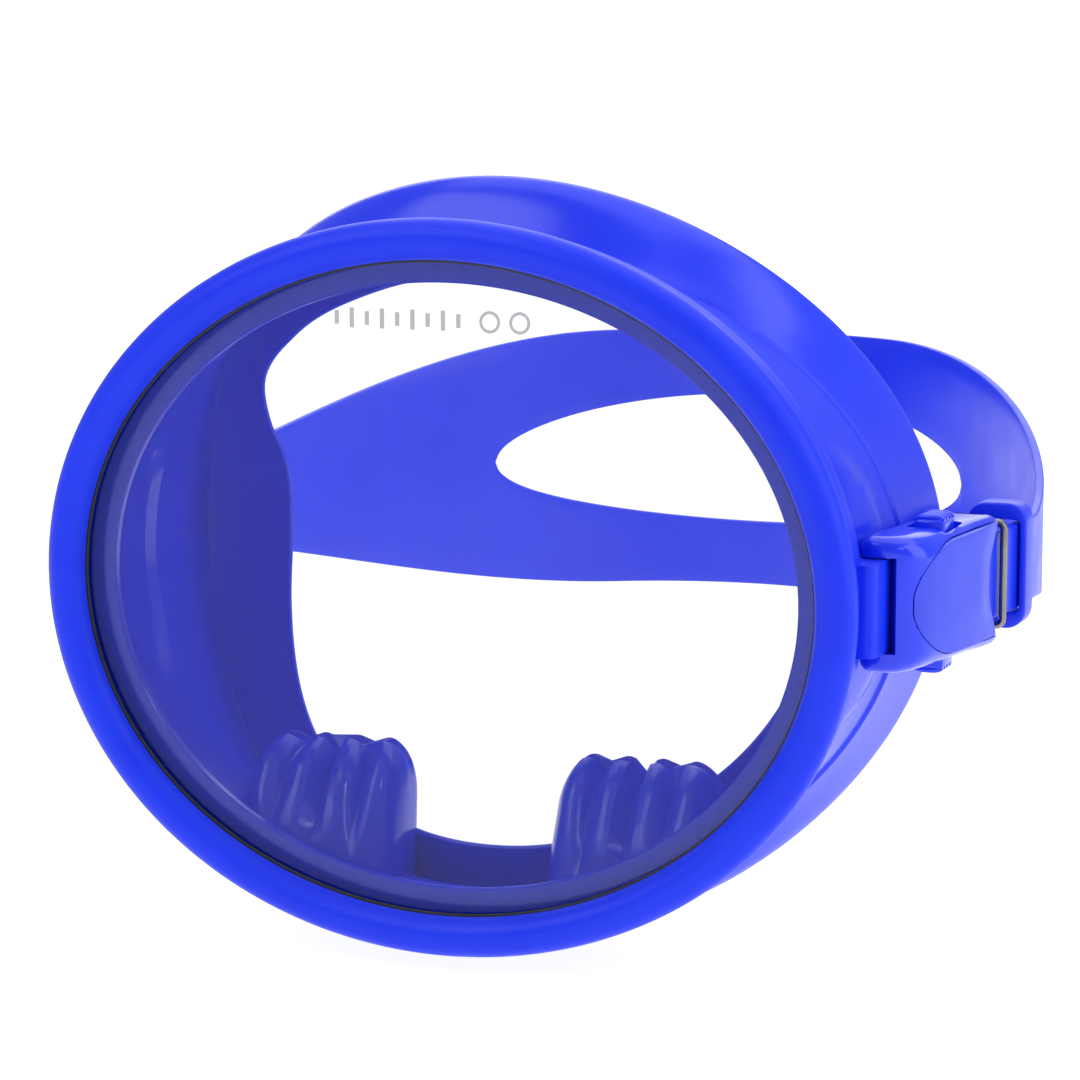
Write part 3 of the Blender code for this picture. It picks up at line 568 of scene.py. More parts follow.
def swept_ring(section):
    """A section of (offset, y) points carried round the oval."""
    turns = full_turn(RING_STEPS)
    return loft([[oval_point(offset, y, turn) for offset, y in section] for turn in turns], closed=True)


def make_front_ring(looks):
    first = atan2(RABBET_Y - RING_TUBE_Y, -RING_TUBE)
    reach = RABBET_OFFSET - RING_TUBE
    last = atan2(sqrt(RING_TUBE**2 - reach**2), reach)
    section = arc((RING_TUBE, RING_TUBE_Y), RING_TUBE, first, last, 36)
    section.append((RABBET_OFFSET, RABBET_Y))
    ring = piece_from(swept_ring(section), "front_ring_bead", looks["ring"])
    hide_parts("front_ring")
    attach(ring, "mask")


def rounded_section(corners, radius, steps=5):
    """A polygon of (offset, y) corners with each convex corner rounded."""
    section = []
    for k, corner in enumerate(corners):
        here = Vector(corner)
        before = (Vector(corners[k - 1]) - here).normalized()
        after = (Vector(corners[(k + 1) % len(corners)]) - here).normalized()
        start, end = here + before * radius, here + after * radius
        for j in range(steps + 1):
            t = j / steps
            point = start * (1 - t) ** 2 + here * 2 * t * (1 - t) + end * t * t
            section.append((point.x, point.y))
    return section


def make_rear_ring(looks):
    front, back = REAR_RING_Y
    shelf = RABBET_OFFSET + SHELF_CLEARANCE
    inner_y = LENS_THICKNESS + FLANGE_THICKNESS + 2 * GAP
    corners = [
        (shelf, front),
        (REAR_RING_OFFSET, front),
        (REAR_RING_OFFSET, back),
        (WALL_OUT + GAP, back),
        (WALL_OUT + GAP, inner_y),
        (shelf, inner_y),
    ]
    band = swept_ring(rounded_section(corners, REAR_RING_ROUNDING))
    ring = piece_from(band, "rear_ring_band", looks["ring"])
    tools = []
    forward, drop = LUG_BEVEL
    for side, _ in SIDES:
        middle = (PIVOT[0] + LUG_RADIUS - LUG_CORNER, LUG_ROOT_Y + LUG_CORNER)
        corner = arc(middle, LUG_CORNER, -pi / 2, 0.0, 10)
        plan = [(PIVOT[0] - LUG_RADIUS, LUG_ROOT_Y), *corner, *arc(PIVOT, LUG_RADIUS, 0.0, pi, 24)]
        outline = mirrored(plan, side)
        sections = []
        levels = ((-1, forward, 0.0), (-1, 0.0, drop), (1, 0.0, drop), (1, forward, 0.0))
        for sign, shift, below in levels:
            z = LEVEL_Z + sign * (LUG_HALF_HEIGHT - below)
            sections.append([(x, y - shift, z) for x, y in outline])
        tools.append(boolean(ring, loft(sections), "UNION"))
    apply_booleans(ring, tools)
    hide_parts("rear_ring")
    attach(ring, "mask")


def make_gasket(looks):
    # A black rubber gasket between ring and glass; its black also paints in the dark shade line at the
    # glass's edge
    section = rectangle((GASKET_INNER, RABBET_Y + GAP), (LENS_OFFSET, -GAP))
    rounded = rounded_section(section, GASKET_ROUNDING, 3)
    ring = piece_from(swept_ring(rounded), "lens_gasket_and_shade_line", looks["gasket"])
    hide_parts("lens_gasket")
    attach(ring, "mask")


def make_lens(looks):
    levels = (
        (LENS_OFFSET - LENS_CHAMFER, 0.0),
        (LENS_OFFSET, LENS_CHAMFER),
        (LENS_OFFSET, LENS_THICKNESS - LENS_CHAMFER),
        (LENS_OFFSET - LENS_CHAMFER, LENS_THICKNESS),
    )
    turns = full_turn(RING_STEPS)
    sections = [[oval_point(offset, y, turn) for turn in turns] for offset, y in levels]
    lens = piece_from(loft(sections), "lens_pane", looks["glass"], 20.0)
    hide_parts("lens")
    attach(lens, "mask")


def add_to(whole, part):
    """Adds one bmesh to another."""
    temporary = bpy.data.meshes.new("part")
    part.to_mesh(temporary)
    part.free()
    whole.from_mesh(temporary)
    bpy.data.meshes.remove(temporary)


def make_etched_mark(looks):
    """A row of plain bars and two rings, etched near the top of the glass."""
    whole = bmesh.new()
    middle_x, middle_z = MARK_CENTRE
    front, back = MARK_Y, MARK_Y + MARK_DEPTH
    for k in range(MARK_BARS):
        x = middle_x + (k - MARK_BARS_LEFT) * MARK_PITCH
        tall = MARK_BAR_HALF_HEIGHTS[k % 2]
        low, high = (x - MARK_BAR_HALF_WIDTH, middle_z - tall), (x + MARK_BAR_HALF_WIDTH, middle_z + tall)
        corners = rectangle(low, high)
        add_to(whole, loft([[(x, y, z) for x, z in corners] for y in (front, back)]))
    for x in MARK_RINGS_X:
        outer = circle_points((middle_x + x, middle_z), MARK_RING_RADIUS, 40)
        inner = circle_points((middle_x + x, middle_z), MARK_RING_RADIUS - MARK_RING_WIDTH, 40)
        sections = []
        for (ox, oz), (ix, iz) in zip(outer, inner):
            sections.append([(ox, front, oz), (ox, back, oz), (ix, back, iz), (ix, front, iz)])
        add_to(whole, loft(sections, closed=True))
    mark = piece_from(whole, "etched_mark", looks["etched"])
    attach(mark, "mask")


# ---------------------------------------------------------------- skirt


def oval_radius(turn, half_width, top, bottom):
    height = top if sin(turn) > 0 else bottom
    return 1 / sqrt((cos(turn) / half_width) ** 2 + (sin(turn) / height) ** 2)


def opening_radius(turn):
    """The face opening's distance from the axis, with a smooth curve through its table."""
    level = degrees(asin(sin(turn)))
    last = len(OPENING) - 1
    k = next((i for i in range(last) if level <= OPENING[i + 1][0]), last - 1)
    slopes = []
    for i in (k, k + 1):
        low, high = OPENING[i - 1 if i else 1], OPENING[i + 1 if i < last else last - 1]
        slopes.append((high[1] - low[1]) / (high[0] - low[0]) if 0 < i < last else 0.0)
    (a, start), (b, end) = OPENING[k], OPENING[k + 1]
    t = (level - a) / (b - a)
    bend = t * (1 - t) * (b - a)
    return start + (end - start) * smoothstep(t) + bend * ((1 - t) * slopes[0] - t * slopes[1])


def boss(turn, y, radius):
    """How far the swelling under a buckle lifts the wall at this place."""
    z = radius * sin(turn)
    middle = (BOSS_Y[0] + BOSS_Y[1]) / 2
    reach = ((z - LEVEL_Z) / BOSS_HALF) ** 2 + ((y - middle) / (BOSS_Y[1] - middle)) ** 2
    return BOSS_HEIGHT * smoothstep((1 - reach) * BOSS_STEEPNESS)


def seam_depths(side):
    """The y of the crease and of the rim; side is 0 in the middle plane and 1 at the far left and right."""
    return CREASE_Y[0] + CREASE_Y[1] * side, RIM_Y[0] + RIM_Y[1] * side


def skirt_section(turn):
    """One section of the skirt through the Y axis, as (distance from the axis, y) pairs."""
    edge = oval_radius(turn, RING_HALF_WIDTH, RING_HALF_HEIGHT, RING_HALF_HEIGHT)
    crease = oval_radius(turn, *CREASE)
    rim = oval_radius(turn, *RIM)
    opening = opening_radius(turn)
    crease_y, rim_y = seam_depths(abs(cos(turn)) ** SIDE_DEPTH_POWER)
    tip_y = rim_y - OPENING_AHEAD
    flange_front = LENS_THICKNESS + GAP
    flange_back = flange_front + FLANGE_THICKNESS
    wall_y = REAR_RING_Y[1] + 0.5 * MM
    outside, inside = [], []
    for k in range(WALL_STEPS + 1):
        share = k / WALL_STEPS
        y = wall_y + (crease_y - wall_y) * share
        radius = edge + WALL_OUT + (crease - edge - WALL_OUT) * share
        lift = boss(turn, y, radius)
        outside.append((radius + lift, y))
        inside.append((radius + lift - WALL_OUT - WALL_IN, y))
    ridge = (crease + CREASE_STEP, crease_y + CREASE_STEP)
    rise = (crease + 0.40 * (rim - crease), crease_y + 0.30 * (rim_y - crease_y))
    lip_start = (rim, rim_y - RIM_LIP_AHEAD)
    flare = cubic(ridge, rise, (rim - 0.4 * MM, rim_y - 5.0 * MM), lip_start, 14)
    lip = arc((rim - RIM_LIP_RADIUS, rim_y - RIM_LIP_AHEAD), RIM_LIP_RADIUS, 0.0, pi / 2, 10)
    lip_out, tip_in = (rim - 6.0 * MM, rim_y + 0.8 * MM), (opening + 6.0 * MM, tip_y + 4.5 * MM)
    back = cubic(lip[-1], lip_out, tip_in, (opening, tip_y), 16)
    tip = arc((opening, tip_y - INNER_TIP_RADIUS), INNER_TIP_RADIUS, pi / 2, 3 * pi / 2, 16)
    fold = (rim - FOLD_INWARD, rim_y - FOLD_AHEAD)
    tip_out, fold_in = (opening + 6.0 * MM, tip_y + 2.9 * MM), (rim - 8.0 * MM, rim_y - 1.6 * MM)
    front = cubic(tip[-1], tip_out, fold_in, fold, 16)
    fold_out = (rim - 1.3 * SKIRT_WALL, rim_y - 5.0 * MM)
    crease_in = (crease - SKIRT_WALL + 0.3 * (rim - crease), crease_y + 0.3 * (rim_y - crease_y))
    inner_flare = cubic(fold, fold_out, crease_in, (crease - SKIRT_WALL, crease_y + 0.2 * MM), 10)
    return [
        (edge - FLANGE_LIP, flange_front + FLANGE_EDGE),
        (edge - FLANGE_LIP + FLANGE_EDGE, flange_front),
        (edge + LENS_OFFSET + GAP, flange_front),
        (edge + LENS_OFFSET + GAP, RABBET_Y + GAP),
        (edge + BEAD_OFFSET, RABBET_Y + GAP),
        (edge + BEAD_OFFSET, flange_back),
        (edge + WALL_OUT, flange_back),
        *outside,
        *flare,
        *lip[:-1],
        *back,
        *tip[1:-1],
        *front,
        *inner_flare,
        *reversed(inside),
        (edge - WALL_IN, flange_back + FLANGE_CORNER),
        (edge - WALL_IN - FLANGE_CORNER, flange_back),
        (edge - FLANGE_LIP + FLANGE_EDGE, flange_back),
        (edge - FLANGE_LIP, flange_back - FLANGE_EDGE),
    ]


def wall_floor(x, y):
    """Height of the middle of the skirt's bottom wall at this place."""
    crease_y, rim_y = seam_depths((abs(x) / CREASE[0]) ** SIDE_DEPTH_POWER)
    share = min(1.0, max(0.0, (y - crease_y) / (rim_y - crease_y)))
    height = CREASE[2] - WALL_IN + (RIM[2] - CREASE[2] - 0.8 * MM) * share
    width = CREASE[0] - WALL_IN + (RIM[0] - CREASE[0]) * share
    return -height * sqrt(1 - (x / width) ** 2)


def squared(value):
    """A sine or cosine pushed outwards, so that the outline that it draws is nearly square."""
    return abs(value) ** WELL_SQUARENESS * (1 if value > 0 else -1)


def well_solid(side, wall, start):
    """A finger well's body, shrunk all round by wall; start is its first level, as a share of its height."""
    middle_x = (WELL_X[0] + WELL_X[1]) / 2
    half_x = (WELL_X[1] - WELL_X[0]) / 2 - wall
    rises = [start] + [1 - (1 - k / WELL_LEVELS) ** 1.6 for k in range(2, WELL_LEVELS + 1)]
    levels = [(start, 0.35), (start, 0.7)] + [(rise, 1.0) for rise in rises]
    round_start, round_share = WELL_TOP_ROUNDING
    sections = []
    for rise, shrink in levels:
        up = max(0.0, rise)
        lean = up**1.5
        front = WELL_Y[0] + (WELL_TOP_Y[0] - WELL_Y[0]) * lean + wall
        back = WELL_Y[1] + (WELL_TOP_Y[1] - WELL_Y[1]) * lean - wall
        round_off = sqrt(max(0.0, 1 - max(0.0, (up - round_start) / round_share) ** 2))
        middle_y = (front + back) / 2
        half_y = (back - front) / 2 * round_off * shrink
        width = half_x * (1 - 0.04 * up) * (0.80 + 0.20 * round_off) * shrink
        section = []
        for turn in full_turn(WELL_POINTS):
            across, along = squared(cos(turn)), squared(sin(turn))
            lobe = abs(sin(pi * WELL_RIBS * (across + 1) / 2)) ** 0.6
            reach = 0.35 + 0.65 * smoothstep(-along)
            swell = WELL_RIB_DEPTH * (lobe - 1) * reach * smoothstep((up - 0.05) / 0.7)
            x = middle_x + width * across
            y = middle_y + half_y * along - swell
            floor = wall_floor(x, y)
            top = WELL_TOP_Z - wall - WELL_RIB_DEPTH * (1 - lobe) * 1.1
            section.append((side * x, y, floor + rise * (top - floor)))
        sections.append(section)
    return loft(sections)


def make_skirt(looks):
    turns = full_turn(SKIRT_STEPS)
    sections = [[(r * cos(turn), y, r * sin(turn)) for r, y in skirt_section(turn)] for turn in turns]
    skirt = piece_from(loft(sections, closed=True), "skirt_shell", looks["skirt"])
    tools = []
    for side, _ in SIDES:
        tools.append(boolean(skirt, well_solid(side, 0.0, 0.0), "UNION"))
        tools.append(boolean(skirt, well_solid(side, WELL_WALL, WELL_HOLLOW_START)))
    apply_booleans(skirt, tools, sharp=16.0)
    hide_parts("skirt")
    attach(skirt, "mask")


# ---------------------------------------------------------------- buckle


def from_pivot(dx, dy):
    """A plan point given in millimetres from the pivot, outwards and backwards."""
    return PIVOT[0] + dx * MM, PIVOT[1] + dy * MM


def body_outer_curve():
    """The buckle's outer side in plan: round the nose to the shoulder, and from there to the rear corner."""
    start = (PIVOT[0] + 0.2 * MM, PIVOT[1] - NOSE_RADIUS)
    shoulder = from_pivot(10.2, 5.0)
    front = cubic(start, from_pivot(5.9, -3.0), from_pivot(8.8, -0.2), shoulder, CURVE_STEPS)
    rear = (BODY_OUTER_X, BODY_REAR_Y)
    side = cubic(shoulder, from_pivot(12.2, 13.0), from_pivot(14.2, 23.0), rear, CURVE_STEPS * 2)
    return front, side + [rear]


def body_outline():
    """The buckle's plan as (x, y, fillet radius) triples, anticlockwise seen from +Z."""
    front, side = body_outer_curve()
    rear_corner = arc((BODY_INNER_X + BODY_CORNER, BODY_REAR_Y - BODY_CORNER), BODY_CORNER, pi / 2, pi, 4)
    nose_side = (PIVOT[0] - NOSE_RADIUS, PIVOT[1] + 0.5 * MM)
    after_corner = (BODY_INNER_X, BODY_REAR_Y - 8.0 * MM)
    inner = cubic(rear_corner[-1], after_corner, from_pivot(-1.6, 14.0), nose_side, 14)
    nose = arc(PIVOT, NOSE_RADIUS, pi, 3 * pi / 2, 12)[:-1]
    outline = []
    for k, (x, y) in enumerate(front):
        share = smoothstep(k / len(front))
        outline.append((x, y, FRONT_FILLET[0] + (FRONT_FILLET[1] - FRONT_FILLET[0]) * share))
    for x, y in side:
        share = smoothstep((y - BODY_REAR_Y + SIDE_FILLET_RUN) / SIDE_FILLET_RUN)
        outline.append((x, y, SIDE_FILLET[0] + (SIDE_FILLET[1] - SIDE_FILLET[0]) * share))
    outline += [(x, y, INNER_FILLET) for x, y in rear_corner[:-1] + inner]
    outline += [(x, y, NOSE_FILLET) for x, y in nose]
    return outline


def filleted_prism(outline, side):
    """The outline extruded to the buckle's height with its top and bottom edges rounded."""
    normals = []
    for k, point in enumerate(outline):
        before, after = outline[k - 1], outline[(k + 1) % len(outline)]
        into = Vector((point[0] - before[0], point[1] - before[1])).normalized()
        away = Vector((after[0] - point[0], after[1] - point[1])).normalized()
        normal = Vector((-into.y - away.y, into.x + away.x)).normalized()
        normals.append(normal / max(0.6, normal.dot(Vector((-into.y, into.x)))))
    sections = []
    for sign in (-1, 1):
        for k in range(FILLET_STEPS + 1):
            turn = pi / 2 * (FILLET_STEPS - k if sign < 0 else k) / FILLET_STEPS
            section = []
            for (x, y, radius), normal in zip(outline, normals):
                reach = radius * (1 - cos(turn))
                z = LEVEL_Z + sign * (BODY_HALF_HEIGHT - radius * (1 - sin(turn)))
                section.append((side * (x + normal.x * reach), y + normal.y * reach, z))
            sections.append(section)
    return loft(sections)


def petal_mesh(side, inward, outward, margin, crown):
    """A plate on the buckle's outer side: rounded in front, scooped behind, crowned across.

    Its faces lie inward and outward of the side. With a margin it is the plate's seat, not scooped.
    """
    front, rear = body_outer_curve()
    curve = front[6:] + rear
    lengths = [0.0]
    for a, b in zip(curve, curve[1:]):
        lengths.append(lengths[-1] + sqrt((b[0] - a[0]) ** 2 + (b[1] - a[1]) ** 2))

    def along(distance):
        distance = min(max(distance, 0.0), lengths[-1])
        k = next(i for i in range(1, len(lengths)) if distance <= lengths[i])
        share = (distance - lengths[k - 1]) / (lengths[k] - lengths[k - 1])
        a, b = curve[k - 1], curve[k]
        run = sqrt((b[0] - a[0]) ** 2 + (b[1] - a[1]) ** 2)
        place = (a[0] + (b[0] - a[0]) * share, a[1] + (b[1] - a[1]) * share)
        return place, ((b[1] - a[1]) / run, -(b[0] - a[0]) / run)

    start = 1.0 * MM - margin
    plate = margin == 0
    grids = ([], [])
    for i in range(COVER_COLUMNS + 1):
        share = (i / COVER_COLUMNS) ** 1.3
        rows_out, rows_in = [], []
        for j in range(COVER_ROWS + 1):
            v = 2 * j / COVER_ROWS - 1
            scoop = COVER_SCOOP * (1 - v * v) ** 1.5 if plate else 0.0
            end = lengths[-1] - 0.6 * MM + margin * 4 - scoop
            distance = start + (end - start) * share
            fullness = min(1.0, (share + 0.004) / COVER_ROUND_SHARE)
            half = (COVER_HALF_HEIGHT + margin) * sqrt(max(0.0, 1 - (1 - fullness) ** 2))
            rising = COVER_TILT * share * (1 + v) / 2
            place, normal = along(distance)
            dish = COVER_DISH * smoothstep((share - 0.78) / 0.22) * (1 - v * v) if plate else 0.0
            height = outward + crown * (1 - v * v) * min(1.0, share * 3) - dish
            z = LEVEL_Z + v * half + rising
            rows_out.append((side * (place[0] + normal[0] * height), place[1] + normal[1] * height, z))
            rows_in.append((side * (place[0] - normal[0] * inward), place[1] - normal[1] * inward, z))
        grids[0].append(rows_out)
        grids[1].append(rows_in)
    bm = bmesh.new()
    top, under = ([[bm.verts.new(p) for p in row] for row in grid] for grid in grids)
    for grid in (top, under):
        for a, b in zip(grid, grid[1:]):
            for j in range(COVER_ROWS):
                bm.faces.new((a[j], a[j + 1], b[j + 1], b[j]))
    rim = [(0, j) for j in range(COVER_ROWS)] + [(i, COVER_ROWS) for i in range(COVER_COLUMNS)]
    rim += [(COVER_COLUMNS, COVER_ROWS - j) for j in range(COVER_ROWS)]
    rim += [(COVER_COLUMNS - i, 0) for i in range(COVER_COLUMNS)]
    for (i, j), (m, n) in zip(rim, rim[1:] + rim[:1]):
        bm.faces.new((top[i][j], top[m][n], under[m][n], under[i][j]))
    return bm


def make_buckle_body(side, word, looks):
    body = piece_from(filleted_prism(body_outline(), side), f"buckle_shell_{word}", looks["buckle"])
    tools = []

    def span(x_low, x_high, y_low, y_high, z_low, z_high):
        xs = sorted((side * x_low, side * x_high))
        return box_mesh((xs[0], y_low, LEVEL_Z + z_low), (xs[1], y_high, LEVEL_Z + z_high))

    lug_room = LUG_HALF_HEIGHT + GAP
    for turn in (0.0, SWIVEL_ROOM):
        root = (PIVOT[0] + LUG_REACH * sin(turn), PIVOT[1] - LUG_REACH * cos(turn))
        room = mirrored(tongue(root, PIVOT, LUG_RADIUS + LUG_CLEARANCE, 32), side)
        tools.append(boolean(body, prism(room, LEVEL_Z - lug_room, LEVEL_Z + lug_room)))
    rear_y = PIVOT[1] + LUG_ROOM_LENGTH
    tools.append(boolean(body, span(LUG_ROOM_X, PIVOT[0], 0.0, rear_y, -lug_room, lug_room)))
    strap_room = STRAP_HALF_WIDTH + STRAP_CLEARANCE
    room_x = (ROLLER[0] - LOOP_RADIUS - LOOP_ROOM_X[0], ROLLER[0] + LOOP_RADIUS + LOOP_ROOM_X[1])
    room_y = (ROLLER[1] - LOOP_RADIUS - LOOP_ROOM_Y[0], BODY_REAR_Y + LOOP_ROOM_Y[1])
    tools.append(boolean(body, span(*room_x, *room_y, -strap_room, strap_room)))
    half_x, half_y = BUTTON_HALF[0] + GAP, BUTTON_HALF[1] + GAP
    x, y = BUTTON
    for sign in (1, -1):
        levels = sorted((sign * BUTTON_WELL_FLOOR, sign * ABOVE_BODY))
        tools.append(boolean(body, span(x - half_x, x + half_x, y - half_y, y + half_y, *levels)))
        levels = sorted((sign * (BODY_HALF_HEIGHT - DISH_DEPTH), sign * ABOVE_BODY))
        dish_x, dish_y = half_x + DISH_MARGIN[0], half_y + DISH_MARGIN[1]
        tools.append(boolean(body, span(x - dish_x, x + dish_x, y - dish_y, y + dish_y, *levels)))
    seat = petal_mesh(side, inward=COVER_THICKNESS + GAP, outward=6.0 * MM, margin=GAP, crown=0.0)
    tools.append(boolean(body, seat))
    apply_booleans(body, tools, sharp=34.0)
    knuckle = mirrored(tongue((FRAME_X[0], BODY_REAR_Y - MM), (FRAME_X[0], FRAME_Y), KNUCKLE_RADIUS), side)
    levels = (LEVEL_Z - KNUCKLE_HALF_HEIGHT, LEVEL_Z + KNUCKLE_HALF_HEIGHT)
    apply_booleans(body, [boolean(body, prism(knuckle, *levels), "UNION")], sharp=34.0)
    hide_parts(f"buckle_body_{word}")
    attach(body, f"buckle_{word}")


def make_cover(side, word, looks):
    plate = petal_mesh(side, inward=COVER_THICKNESS, outward=0.0, margin=0.0, crown=COVER_CROWN)
    cover = piece_from(plate, f"petal_cover_{word}", looks["cover"])
    soften(cover, 0.35 * MM, angle=50.0)
    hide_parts(f"buckle_cover_{word}")
    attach(cover, f"buckle_{word}")


def make_button(side, word, level, sign, looks):
    """A ribbed push button; sign is +1 for the top one and -1 for the bottom one."""
    half_x, half_y = BUTTON_HALF
    x, y = side * BUTTON[0], BUTTON[1]
    zs = sorted((LEVEL_Z + sign * BUTTON_BASE, LEVEL_Z + sign * (BUTTON_TOP - BUTTON_ROUNDING)))
    head = box_mesh((x - half_x, y - half_y, zs[0]), (x + half_x, y + half_y, zs[1]))
    edges = head.edges[:]
    bmesh.ops.bevel(head, geom=edges, offset=BUTTON_ROUNDING, segments=5, affect="EDGES", profile=0.5)
    button = piece_from(head, f"button_cap_{level}_{word}", looks["buckle"])
    tools = []
    pitch = 2 * half_y / BUTTON_RIBS
    top = BUTTON_TOP - 0.75 * MM
    for k in range(BUTTON_RIBS):
        middle = y - half_y + pitch * (k + 0.5)
        sections = []
        for j in range(9):
            along = 2 * j / 8 - 1
            centre = (middle, LEVEL_Z + sign * (top - 0.5 * MM * along**4))
            bar = circle_points(centre, BUTTON_RIB_RADIUS - 0.1 * MM * along**4, 20)
            end = x + along * (half_x - 0.1 * MM)
            sections.append([(end, p, q) for p, q in bar])
        tools.append(boolean(button, loft(sections), "UNION"))
    pocket_radius, pocket_depth = SPRING_POCKET
    levels = sorted((LEVEL_Z + sign * (BUTTON_BASE - MM), LEVEL_Z + sign * (BUTTON_BASE + pocket_depth)))
    tools.append(boolean(button, prism(circle_points((x, y), pocket_radius, 32), *levels)))
    apply_booleans(button, tools)
    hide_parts(f"release_button_{level}_{word}")
    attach(button, f"button_{level}_{word}")


def make_roller(side, word, looks):
    """A waisted sleeve with rounded ends and a bore for its pin."""
    half = STRAP_HALF_WIDTH + 0.1 * MM
    rounded = ROLLER_RADIUS - ROLLER_EDGE
    profile = [(ROLLER_BORE, -half), (rounded, -half), (ROLLER_RADIUS, -half + ROLLER_EDGE)]
    profile += [(ROLLER_RADIUS - ROLLER_WAIST * cos(pi * v / 10), half * v / 5) for v in range(-4, 5)]
    profile += [(ROLLER_RADIUS, half - ROLLER_EDGE), (rounded, half), (ROLLER_BORE, half)]
    x, y = side * ROLLER[0], ROLLER[1]
    sections = []
    for turn in full_turn(48):
        sections.append([(x + r * cos(turn), y + r * sin(turn), LEVEL_Z + z) for r, z in profile])
    roller = piece_from(loft(sections, closed=True), f"roller_sleeve_{word}", looks["buckle"])
    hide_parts(f"strap_roller_{word}")
    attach(roller, f"roller_{word}")


def make_latch_frame(side, word, looks):
    """A closed rectangle of round steel wire, with rounded corners, round both runs of the strap."""
    path = []
    low, high = FRAME_X
    top = FRAME_HALF_HEIGHT
    corners = ((high, top), (low, top), (low, -top), (high, -top))
    for quarter, (x, z) in enumerate(corners):
        centre_x = x + (-FRAME_CORNER if x == high else FRAME_CORNER)
        centre_z = z + (-FRAME_CORNER if z > 0 else FRAME_CORNER)
        for k in range(11):
            turn = pi / 2 * (quarter + k / 10)
            path.append((centre_x + FRAME_CORNER * cos(turn), centre_z + FRAME_CORNER * sin(turn), turn))
    sections = []
    for x, z, turn in path:
        section = []
        for around in full_turn(20):
            out, y = FRAME_WIRE * cos(around), FRAME_Y + FRAME_WIRE * sin(around)
            section.append((side * (x + out * cos(turn)), y, LEVEL_Z + z + out * sin(turn)))
        sections.append(section)
    frame_piece = piece_from(loft(sections, closed=True), f"wire_frame_{word}", looks["steel"])
    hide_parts(f"latch_frame_{word}")
    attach(frame_piece, f"latch_{word}")


def rounded_loop(half_width, half_height, radius, centre_x, steps=12):
    points = []
    for quarter, (sx, sz) in enumerate(((1, 1), (-1, 1), (-1, -1), (1, -1))):
        for k in range(steps + 1):
            turn = pi / 2 * (quarter + k / steps)
            x = centre_x + sx * (half_width - radius) + radius * cos(turn)
            points.append((x, sz * (half_height - radius) + radius * sin(turn)))
    return points


def make_keeper(side, word, looks):
    centre = (KEEPER_X[0] + KEEPER_X[1]) / 2
    half_width = (KEEPER_X[1] - KEEPER_X[0]) / 2
    outer = rounded_loop(half_width, KEEPER_HALF_HEIGHT, KEEPER_CORNERS[0], centre)
    room = STRAP_HALF_WIDTH + 0.6 * MM
    inner = rounded_loop(half_width - KEEPER_WALL, room, KEEPER_CORNERS[1], centre)
    sections = []
    front, back = KEEPER_Y
    for (ox, oz), (ix, iz) in zip(outer, inner):
        sections.append([
            (side * ox, front, LEVEL_Z + oz),
            (side * ox, back, LEVEL_Z + oz),
            (side * ix, back, LEVEL_Z + iz),
            (side * ix, front, LEVEL_Z + iz),
        ])
    keeper = piece_from(loft(sections, closed=True), f"keeper_loop_{word}", looks["keeper"])
    soften(keeper, 0.45 * MM)
    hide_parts(f"strap_keeper_{word}")
    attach(keeper, f"keeper_{word}")


# ---------------------------------------------------------------- strap


def strap_stations():
    """Stations from the tail, round the roller to the back of the head: (x, y, middle, half, hole)."""
    stations = []
    tail_x = ROLLER[0] - LOOP_RADIUS + RUN_SLOPE * (TAIL_END_Y - ROLLER[1])
    for k in range(TAIL_STEPS):
        share = k / TAIL_STEPS
        swell = sqrt(max(0.0, 1 - (1 - min(1.0, share * 4)) ** 2))
        end_round = TAIL_TIP_SHARE + (1 - TAIL_TIP_SHARE) * swell
        x = tail_x + (ROLLER[0] - LOOP_RADIUS - tail_x) * share
        y = TAIL_END_Y + (ROLLER[1] - TAIL_END_Y) * share
        stations.append((x, y, LEVEL_Z, STRAP_HALF_WIDTH * end_round, 0.0))
    for x, y in arc(ROLLER, LOOP_RADIUS, -pi, 0.0, LOOP_STEPS):
        stations.append((x, y, LEVEL_Z, STRAP_HALF_WIDTH, 0.0))
    depth = STRAP_BACK_Y - STRAP_CURVE_Y
    first = asin((STRAP_JOIN_Y - STRAP_CURVE_Y) / depth)
    near = (ROLLER[0] + LOOP_RADIUS, ROLLER[1])
    far = (STRAP_X * cos(first), STRAP_JOIN_Y)
    after_near = (near[0] + 1.0 * MM, near[1] + RUN_PULL)
    before_far = (far[0] - 0.2 * MM, far[1] - RUN_PULL)
    for x, y in cubic(near, after_near, before_far, far, 20)[1:]:
        stations.append((x, y, LEVEL_Z, STRAP_HALF_WIDTH, 0.0))
    for k in range(PAD_STEPS + 1):
        turn = first + (pi / 2 - first) * k / PAD_STEPS
        share = min(1.0, max(0.0, (turn - PAD_START) / (PAD_FULL - PAD_START)))
        half = STRAP_HALF_WIDTH + (PAD_HALF_HEIGHT - STRAP_HALF_WIDTH) * sin(pi / 2 * share) ** PAD_SWELL
        x = STRAP_X * cos(turn)
        across = x / HOLE_HALF_WIDTH
        hole = HOLE_HALF_HEIGHT * sqrt(1 - across**2) if across < 1 else 0.0
        middle = LEVEL_Z + PAD_LIFT * smoothstep(share)
        stations.append((x, STRAP_CURVE_Y + depth * sin(turn), middle, half, hole))
    return stations


def open_middle(strap):
    """Takes off the end faces in the mask's middle plane, so that their edges stay square."""
    bm = bmesh.new()
    bm.from_mesh(strap.data)
    ends = [face for face in bm.faces if all(abs(vert.co.x) < 0.01 * MM for vert in face.verts)]
    bmesh.ops.delete(bm, geom=ends, context="FACES")
    bm.to_mesh(strap.data)
    bm.free()


def close_middle(strap):
    bm = bmesh.new()
    bm.from_mesh(strap.data)
    bmesh.ops.holes_fill(bm, edges=[edge for edge in bm.edges if edge.is_boundary])
    bm.to_mesh(strap.data)
    bm.free()
    strap.data.set_sharp_from_angle(angle=radians(32.0))


